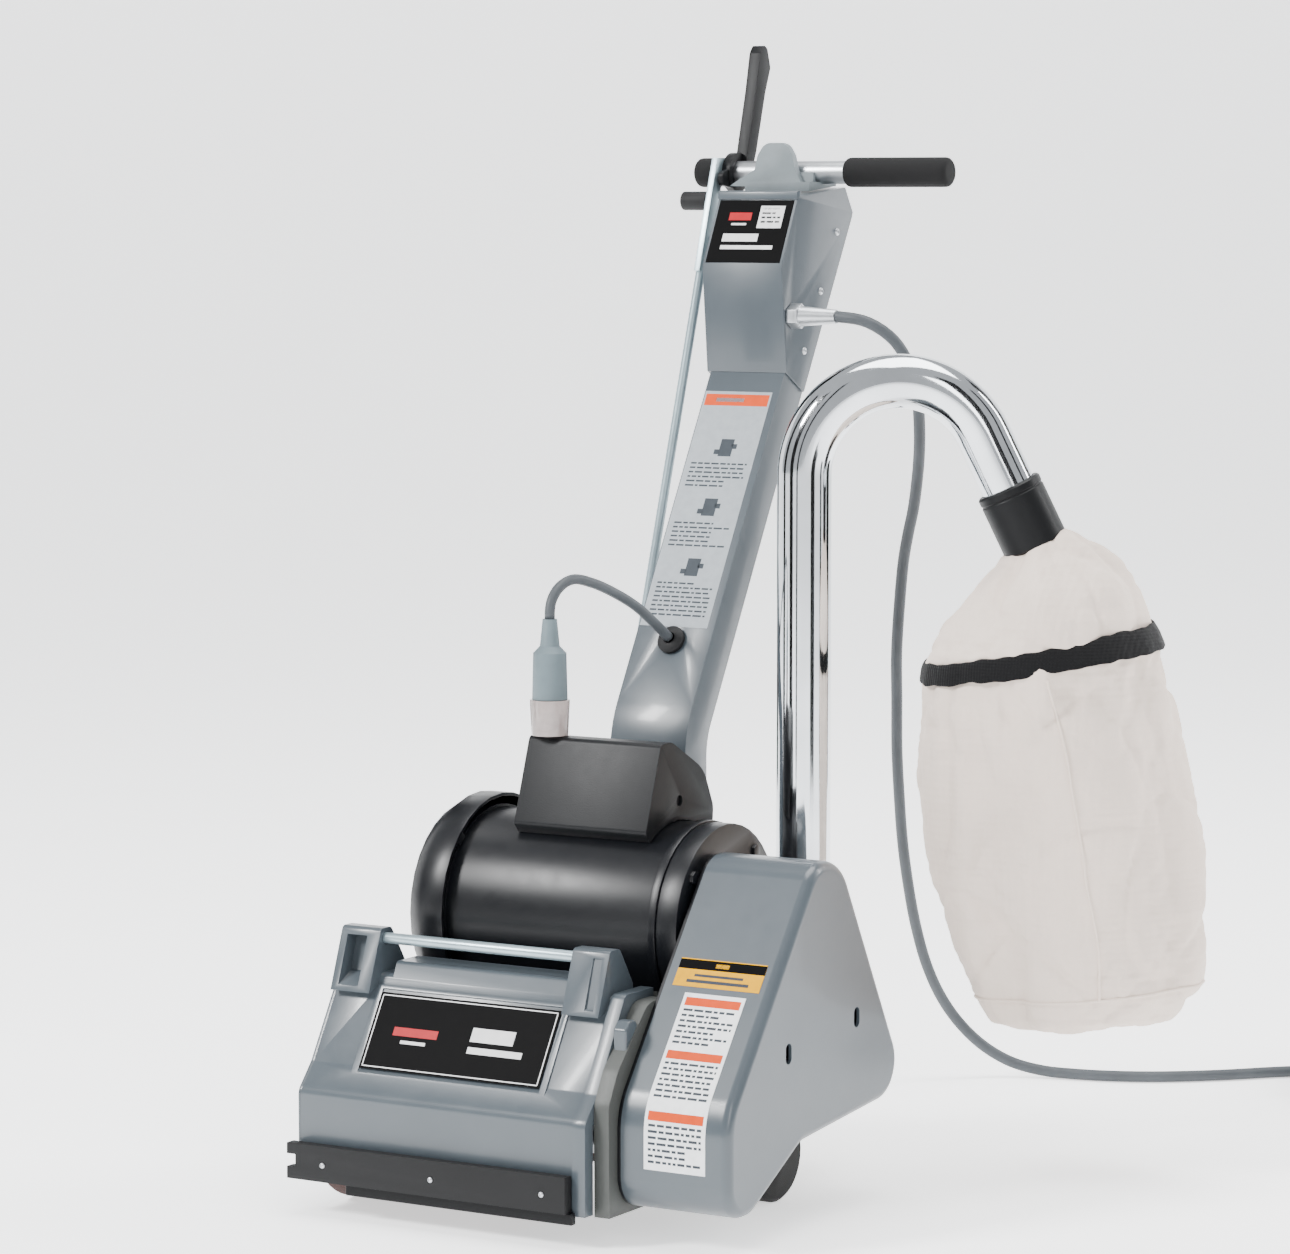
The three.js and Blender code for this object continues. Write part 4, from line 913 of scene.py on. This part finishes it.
def crumple(obj, big, small):
    """Flat patches with creases between them, at two sizes, pushed along the surface's normals."""
    noise.seed_set(CRUMPLE_SEED)
    for vertex in obj.data.vertices:
        p = vertex.co
        bend = noise.noise_vector(p * 9) * 0.35
        near, far = noise.voronoi(Vector((p.x * 13, p.y * 13, p.z * 9)) + bend)[0][:2]
        fine_near, fine_far = noise.voronoi(p * 30 + bend * 2)[0][:2]
        push = big * smooth((far - near) * 3.2) + small * smooth((fine_far - fine_near) * 3)
        push += 1.1 * big * noise.noise(p * 12) - 0.5 * big * math.exp(-((far - near) / 0.05) ** 2)
        vertex.co = p + vertex.normal * (push - 0.6 * big) * MM


def relax_cloth(obj, held, frames, cap):
    """Cloth simulation of the piece, applied, with no point moving further than cap."""
    start = [v.co.copy() for v in obj.data.vertices]
    group = obj.vertex_groups.new(name="held")
    for index, weight in held:
        group.add([index], weight, "REPLACE")
    cloth = obj.modifiers.new("cloth", "CLOTH")
    settings = cloth.settings
    settings.quality = 5
    settings.mass = 0.25
    settings.tension_stiffness = 14
    settings.compression_stiffness = 14
    settings.shear_stiffness = 6
    settings.bending_stiffness = 1.0
    settings.vertex_group_mass = "held"
    settings.use_pressure = True
    settings.uniform_pressure_force = 0.3
    settings.shrink_min = -0.015
    cloth.collision_settings.use_collision = False
    cloth.point_cache.frame_start = 1
    cloth.point_cache.frame_end = frames
    scene = bpy.context.scene
    for frame_number in range(1, frames + 1):
        scene.frame_set(frame_number)
    graph = bpy.context.evaluated_depsgraph_get()
    moved = [v.co.copy() for v in obj.evaluated_get(graph).to_mesh().vertices]
    obj.modifiers.remove(cloth)
    obj.vertex_groups.remove(group)
    scene.frame_set(1)
    for vertex, before, after in zip(obj.data.vertices, start, moved):
        step = after - before
        if step.length > cap * MM:
            step *= cap * MM / step.length
        vertex.co = before + step


def apply_subdivision(obj):
    modifier = obj.modifiers.new("finer", "SUBSURF")
    modifier.levels = 1
    bpy.context.view_layer.update()
    graph = bpy.context.evaluated_depsgraph_get()
    mesh = bpy.data.meshes.new_from_object(obj.evaluated_get(graph))
    obj.modifiers.remove(modifier)
    obj.data = mesh


def make_bag():
    bm = bmesh.new()
    add_bag_rings(bm)
    bag = new_piece("dust_bag_cloth", bm, "bag_cloth", "base", ["dust_bag"], sharp=180)
    bag.modifiers.clear()
    held = []
    for v in bag.data.vertices:
        ring = v.index // BAG_AROUND
        z = BAG_TOP + (BAG_BOTTOM - BAG_TOP) * ring / BAG_DOWN
        if ring <= 3 or BAND_LOW <= z <= BAND_HIGH:
            held.append((v.index, 1.0))
        elif z > BAND_HIGH:
            held.append((v.index, 0.6))
    relax_cloth(bag, held, 20, 12)
    apply_subdivision(bag)
    crumple(bag, 3.0, 1.2)
    make_bag_seams(bag)


def make_bag_seams(bag):
    """Sewn edges: one down the front and one down the back of the bag, and one round its base."""
    graph = bpy.context.evaluated_depsgraph_get()
    shell = BVHTree.FromObject(bag, graph)
    lines = []
    for way in (-1, 1):
        line = []
        for k in range(70):
            z = 462 - (462 - 172) * k / 69
            out = bag_row(z)[0] + 5 * noise.noise(Vector((z * 0.014, way * 3.1, 0)))
            start = in_hook(out, z, way * 260)
            hit = shell.ray_cast(start, in_hook(out, z) - start)[0]
            line.append(hit - (hit - start).normalized() * 0.0004)
        lines.append(line)
    base = []
    for k in range(121):
        angle = 2 * math.pi * k / 120
        out, wide, deep, lean = bag_row(172)
        z = 172 + 7 * math.cos(angle)
        start = in_hook(out + 260 * math.cos(angle), z, 260 * math.sin(angle))
        hit = shell.ray_cast(start, in_hook(out, z) - start)[0]
        base.append(hit - (hit - start).normalized() * 0.0004)
    lines.append(base)
    bm = bmesh.new()
    for line in lines:
        add_tube(bm, line, 1.5, 8)
    new_piece("dust_bag_seams", bm, "bag_cloth", "base")


def make_band():
    """Elastic band: a soft flat tube, ruched a little by the cloth under it."""
    bm = bmesh.new()
    around, section = 144, 14
    rings = []
    middle = (BAND_LOW + BAND_HIGH) / 2
    for i in range(around):
        angle = 2 * math.pi * i / around
        sway = 2.4 * noise.noise(Vector((math.cos(angle) * 2.1, math.sin(angle) * 2.1, 4.2)))
        swell = 1 + 0.16 * noise.noise(Vector((math.cos(angle) * 9, math.sin(angle) * 9, 1.7)))
        ring = []
        for k in range(section):
            t = 2 * math.pi * k / section
            z = middle + sway + 10.5 * swell * math.cos(t)
            ring.append(bag_point(z, angle, 1.6 + 2.6 * swell * math.sin(t)))
        rings.append(ring)
    add_loft(bm, rings, closed=True)
    new_piece("bag_band_elastic", bm, "bag_elastic", "base", ["bag_band"], sharp=80)


# ---- belt guard ----------------------------------------------------------------------------------
GUARD_SLOTS = [(158, 173), (36, 160)]


def make_guard():
    """A pressed shell open at its back, with a broad rounded outer edge and two slots."""
    outline = rounded(GUARD_LINE, 14)
    inner = inset(outline, 3)
    rings = [[at(GUARD_X[0], p.x, p.y) for p in outline]]
    edge, steps = 9.0, 8
    for k in range(steps + 1):
        a = math.pi / 2 * k / steps
        pulled = inset(outline, edge * (1 - math.cos(a)))
        rings.append([at(GUARD_X[1] - edge + edge * math.sin(a), p.x, p.y) for p in pulled])
    for k in range(steps + 1):
        a = math.pi / 2 * (1 - k / steps)
        pulled = inset(outline, 3 + (edge - 3) * (1 - math.cos(a)))
        rings.append([at(GUARD_X[1] - edge + (edge - 3) * math.sin(a), p.x, p.y) for p in pulled])
    rings.append([at(GUARD_X[0], p.x, p.y) for p in inner])
    bm = bmesh.new()
    made = [[bm.verts.new(p) for p in ring] for ring in rings]
    count = len(outline)
    middle = steps + 1
    for r in range(len(made)):
        if r == middle:
            continue
        a, b = made[r], made[(r + 1) % len(made)]
        for i in range(count):
            bm.faces.new((a[i], a[(i + 1) % count], b[(i + 1) % count], b[i]))
    bm.faces.new(made[middle])
    bm.faces.new(list(reversed(made[middle + 1])))
    guard = new_piece("belt_guard_finished", bm, "body_paint", "base", ["belt_guard"])
    cutter = bmesh.new()
    for y, z in GUARD_SLOTS:
        corner = [(y - 5, z - 9, 4.9), (y + 5, z - 9, 4.9), (y + 5, z + 9, 4.9), (y - 5, z + 9, 4.9)]
        add_plate(cutter, rounded(corner, 6), GUARD_X[1] - 8, GUARD_X[1] + 3)
    cut_with(guard, cutter)


BOX_SCREW_AT = [on_column(531, 20), on_column(467, 20), on_column(403, 20)]

# ---- fasteners -----------------------------------------------------------------------------------


def add_screw(bm, place, out, r, height):
    """A domed head with a shallow socket, on a surface that faces out."""
    profile = [(-0.6, r), (0.15 * height, r), (0.6 * height, r * 0.88), (0.92 * height, r * 0.6), (height, r * 0.42),
               (0.45 * height, r * 0.36), (0.45 * height, 0.1)]
    add_lathe(bm, profile, place, out, 20)


SCREWS = [
    # name, look, body, head radius, head height, the way it faces, places
    ("strip_rivets", "zinc_steel", "base", 2.6, 1.3, (0, -1, 0), [(-75, -104, 46), (38, -104, 46), (151, -104, 46)]),
    ("box_side_screws", "zinc_steel", "base", 3.6, 2.0, (1, 0, 0),
     [(99.5, *BOX_SCREW_AT[0]), (99.5, *BOX_SCREW_AT[1]), (99.5, *BOX_SCREW_AT[2])]),
    ("box_left_screws", "zinc_steel", "base", 3.6, 2.0, (-1, 0, 0),
     [(14, *BOX_SCREW_AT[0]), (14, *BOX_SCREW_AT[1]), (14, *BOX_SCREW_AT[2])]),
]


def make_screws():
    for name, look, body, r, height, out, places in SCREWS:
        bm = bmesh.new()
        for place in places:
            add_screw(bm, at(*place), out, r, height)
        new_piece(name, bm, look, body)


# ---- small fittings ------------------------------------------------------------------------------
# A black band under the front strip: painted shade, standing in for the dark drum and the shadowed chamber seen below
# the strip.
STRIP_SHADE_BAND = ((-54, 178), (-99, -91.5), (21, 31.5))
WALL_BOSS = ((189, 202), [(-49, 160, 2.5), (-30, 160, 2.5), (-30, 190, 5), (-42, 190, 5), (-49, 183, 4)])
RIGHT_EAR_PAD = ((155.8, 165.2), [(-41.5, 190.5), (-21.5, 205), (-11.5, 238.2), (-25.4, 238.2)])
COIL_TIES = (40, 220)


def add_box(bm, xs, ys, zs, edge=1.0):
    corners = [(ys[0], zs[0], edge), (ys[1], zs[0], edge), (ys[1], zs[1], edge), (ys[0], zs[1], edge)]
    add_plate(bm, rounded(corners, 4), xs[0], xs[1], edge * 0.6, edge * 0.6, 3)


def make_fittings():
    # The black band under the strip is painted shade for the dark drum and the shadowed chamber below it.
    bm = bmesh.new()
    add_box(bm, *STRIP_SHADE_BAND, edge=1.5)
    new_piece("strip_shade_band", bm, "black_plastic", "base")
    bm = bmesh.new()
    add_plate(bm, rounded(WALL_BOSS[1], 5), *WALL_BOSS[0], 2.0, 2.0, 4)
    new_piece("wall_boss", bm, "body_paint", "base")
    bm = bmesh.new()
    add_plate(bm, [Vector(p) for p in RIGHT_EAR_PAD[1]], *RIGHT_EAR_PAD[0])
    new_piece("cover_ear_pad", bm, "body_paint", "base")


def make_coil_ties():
    """A strap round all the turns of the coil at two places."""
    half = 2 * LANE
    top = CORD_FLOOR + 3 * LANE + CORD_R
    bm = bmesh.new()
    for angle in COIL_TIES:
        a = math.radians(angle)
        out, along = Vector((math.cos(a), math.sin(a))), Vector((-math.sin(a), math.cos(a)))
        rings = []
        for w in (-6, -5, 5, 6):
            for grow, low in (((0.4, 0.25), (1.8, 0.12)) if w < 0 else ((1.8, 0.12), (0.4, 0.25))):
                if abs(w) == 5:
                    grow += 0.6 if grow > 1 else 0
                corners = [(-half - grow, low, 0.1), (half + grow, low, 0.1), (half + grow, top + grow, 6),
                           (-half - grow, top + grow, 6)]
                ring = []
                for p in rounded(corners, 6):
                    place = Vector(COIL) + out * (COIL_MID + p.x) + along * w
                    ring.append(at(place.x, place.y, p.y))
                rings.append(ring)
        order = [rings[0], rings[1], rings[3], rings[4], rings[6], rings[7]]
        add_loft(bm, order, closed=True)
    new_piece("cord_coil_ties", bm, "black_rubber", "base")


def make_print_materials():
    for name, color, roughness in (
            ("print_black", (0.0012, 0.0012, 0.0014), 0.5), ("print_white", (0.78, 0.79, 0.80), 0.35),
            ("print_pale", (0.30, 0.325, 0.345), 0.35), ("print_grey", (0.045, 0.052, 0.060), 0.4),
            ("print_orange", (0.56, 0.065, 0.015), 0.35), ("print_yellow", (0.64, 0.315, 0.0), 0.4),
            ("print_silver", (0.62, 0.62, 0.62), 0.3), ("print_red", (0.33, 0.018, 0.022), 0.3)):
        n = Nodes(name)
        ink = n.noise(120, 5)
        n.set(Base_Color=n.ramp(ink, [(0.3, tone(color, 0.92)), (0.7, tone(color, 1.05))]),
              Roughness=n.span(ink, roughness - 0.02, roughness + 0.03), Specular_IOR_Level=0.04)
        keep(n, name)


make_print_materials()

# ---- CAD pieces given finer edges --------------------------------------------------------------
NODE_LOOK = {s["node"]: s["material_slot"] for s in frame["record"]["subparts"]}
LOOK_CHANGES = {"motor_wiring_box": "wiring_paint", "lead_connector": "connector_grey",
                "grip_right": "foam", "grip_left": "foam", "lift_rod": "rod_steel", "lift_handle": "rod_steel"}
NODE_BODY = {n: body for body, nodes in frame["record"]["behaviour"]["bodies"].items() for n in nodes}


def finer(node, width=0.7, sharp=40):
    """A copy of a CAD piece with merged faces and rounded edges, shown in its place."""
    source = frame["nodes"][node]
    mesh = source.data.copy()
    bm = bmesh.new()
    bm.from_mesh(mesh)
    bmesh.ops.remove_doubles(bm, verts=bm.verts, dist=0.00002)
    bmesh.ops.dissolve_limit(bm, angle_limit=math.radians(1), verts=bm.verts, edges=bm.edges)
    edges = [e for e in bm.edges if len(e.link_faces) == 2 and e.calc_face_angle(0) > math.radians(sharp)]
    bmesh.ops.bevel(bm, geom=edges, offset=width * MM, segments=2, profile=0.6, affect="EDGES",
                    clamp_overlap=True)
    shade(bm)
    bm.to_mesh(mesh)
    bm.free()
    obj = bpy.data.objects.new(node + "_finished", mesh)
    bpy.context.scene.collection.objects.link(obj)
    look = LOOK_CHANGES.get(node, NODE_LOOK[node])
    mesh.materials.clear()
    mesh.materials.append(MATERIAL[look])
    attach(obj, NODE_BODY[node])
    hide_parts(node)
    return obj


MADE_NEW = {"mains_cord", "cord_coil", "cord_tail", "motor_lead", "dust_pipe", "pipe_collar", "dust_bag", "bag_band",
            "belt_guard"}
EDGE_WIDTH = {"lift_lever": 2.4, "control_box": 1.4, "column": 2.6, "motor_wiring_box": 2.0, "front_cover": 1.4,
              "grip_right": 3.0, "grip_left": 3.0}


def make_finer_pieces():
    for node in frame["nodes"]:
        if node not in MADE_NEW:
            finer(node, EDGE_WIDTH.get(node, 0.7))


def declare_cords():
    """Both cords' paths are turned into lists of points once the pieces on them are finished; the lists are not kept.
    """
    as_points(MAINS_PATH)
    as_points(MOTOR_PATH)


make_pipe()
make_bag()
make_band()
make_guard()
make_guard_labels()
make_badges()
make_column_label()
make_screws()
make_fittings()
make_coil_ties()
make_finer_pieces()
declare_cords()
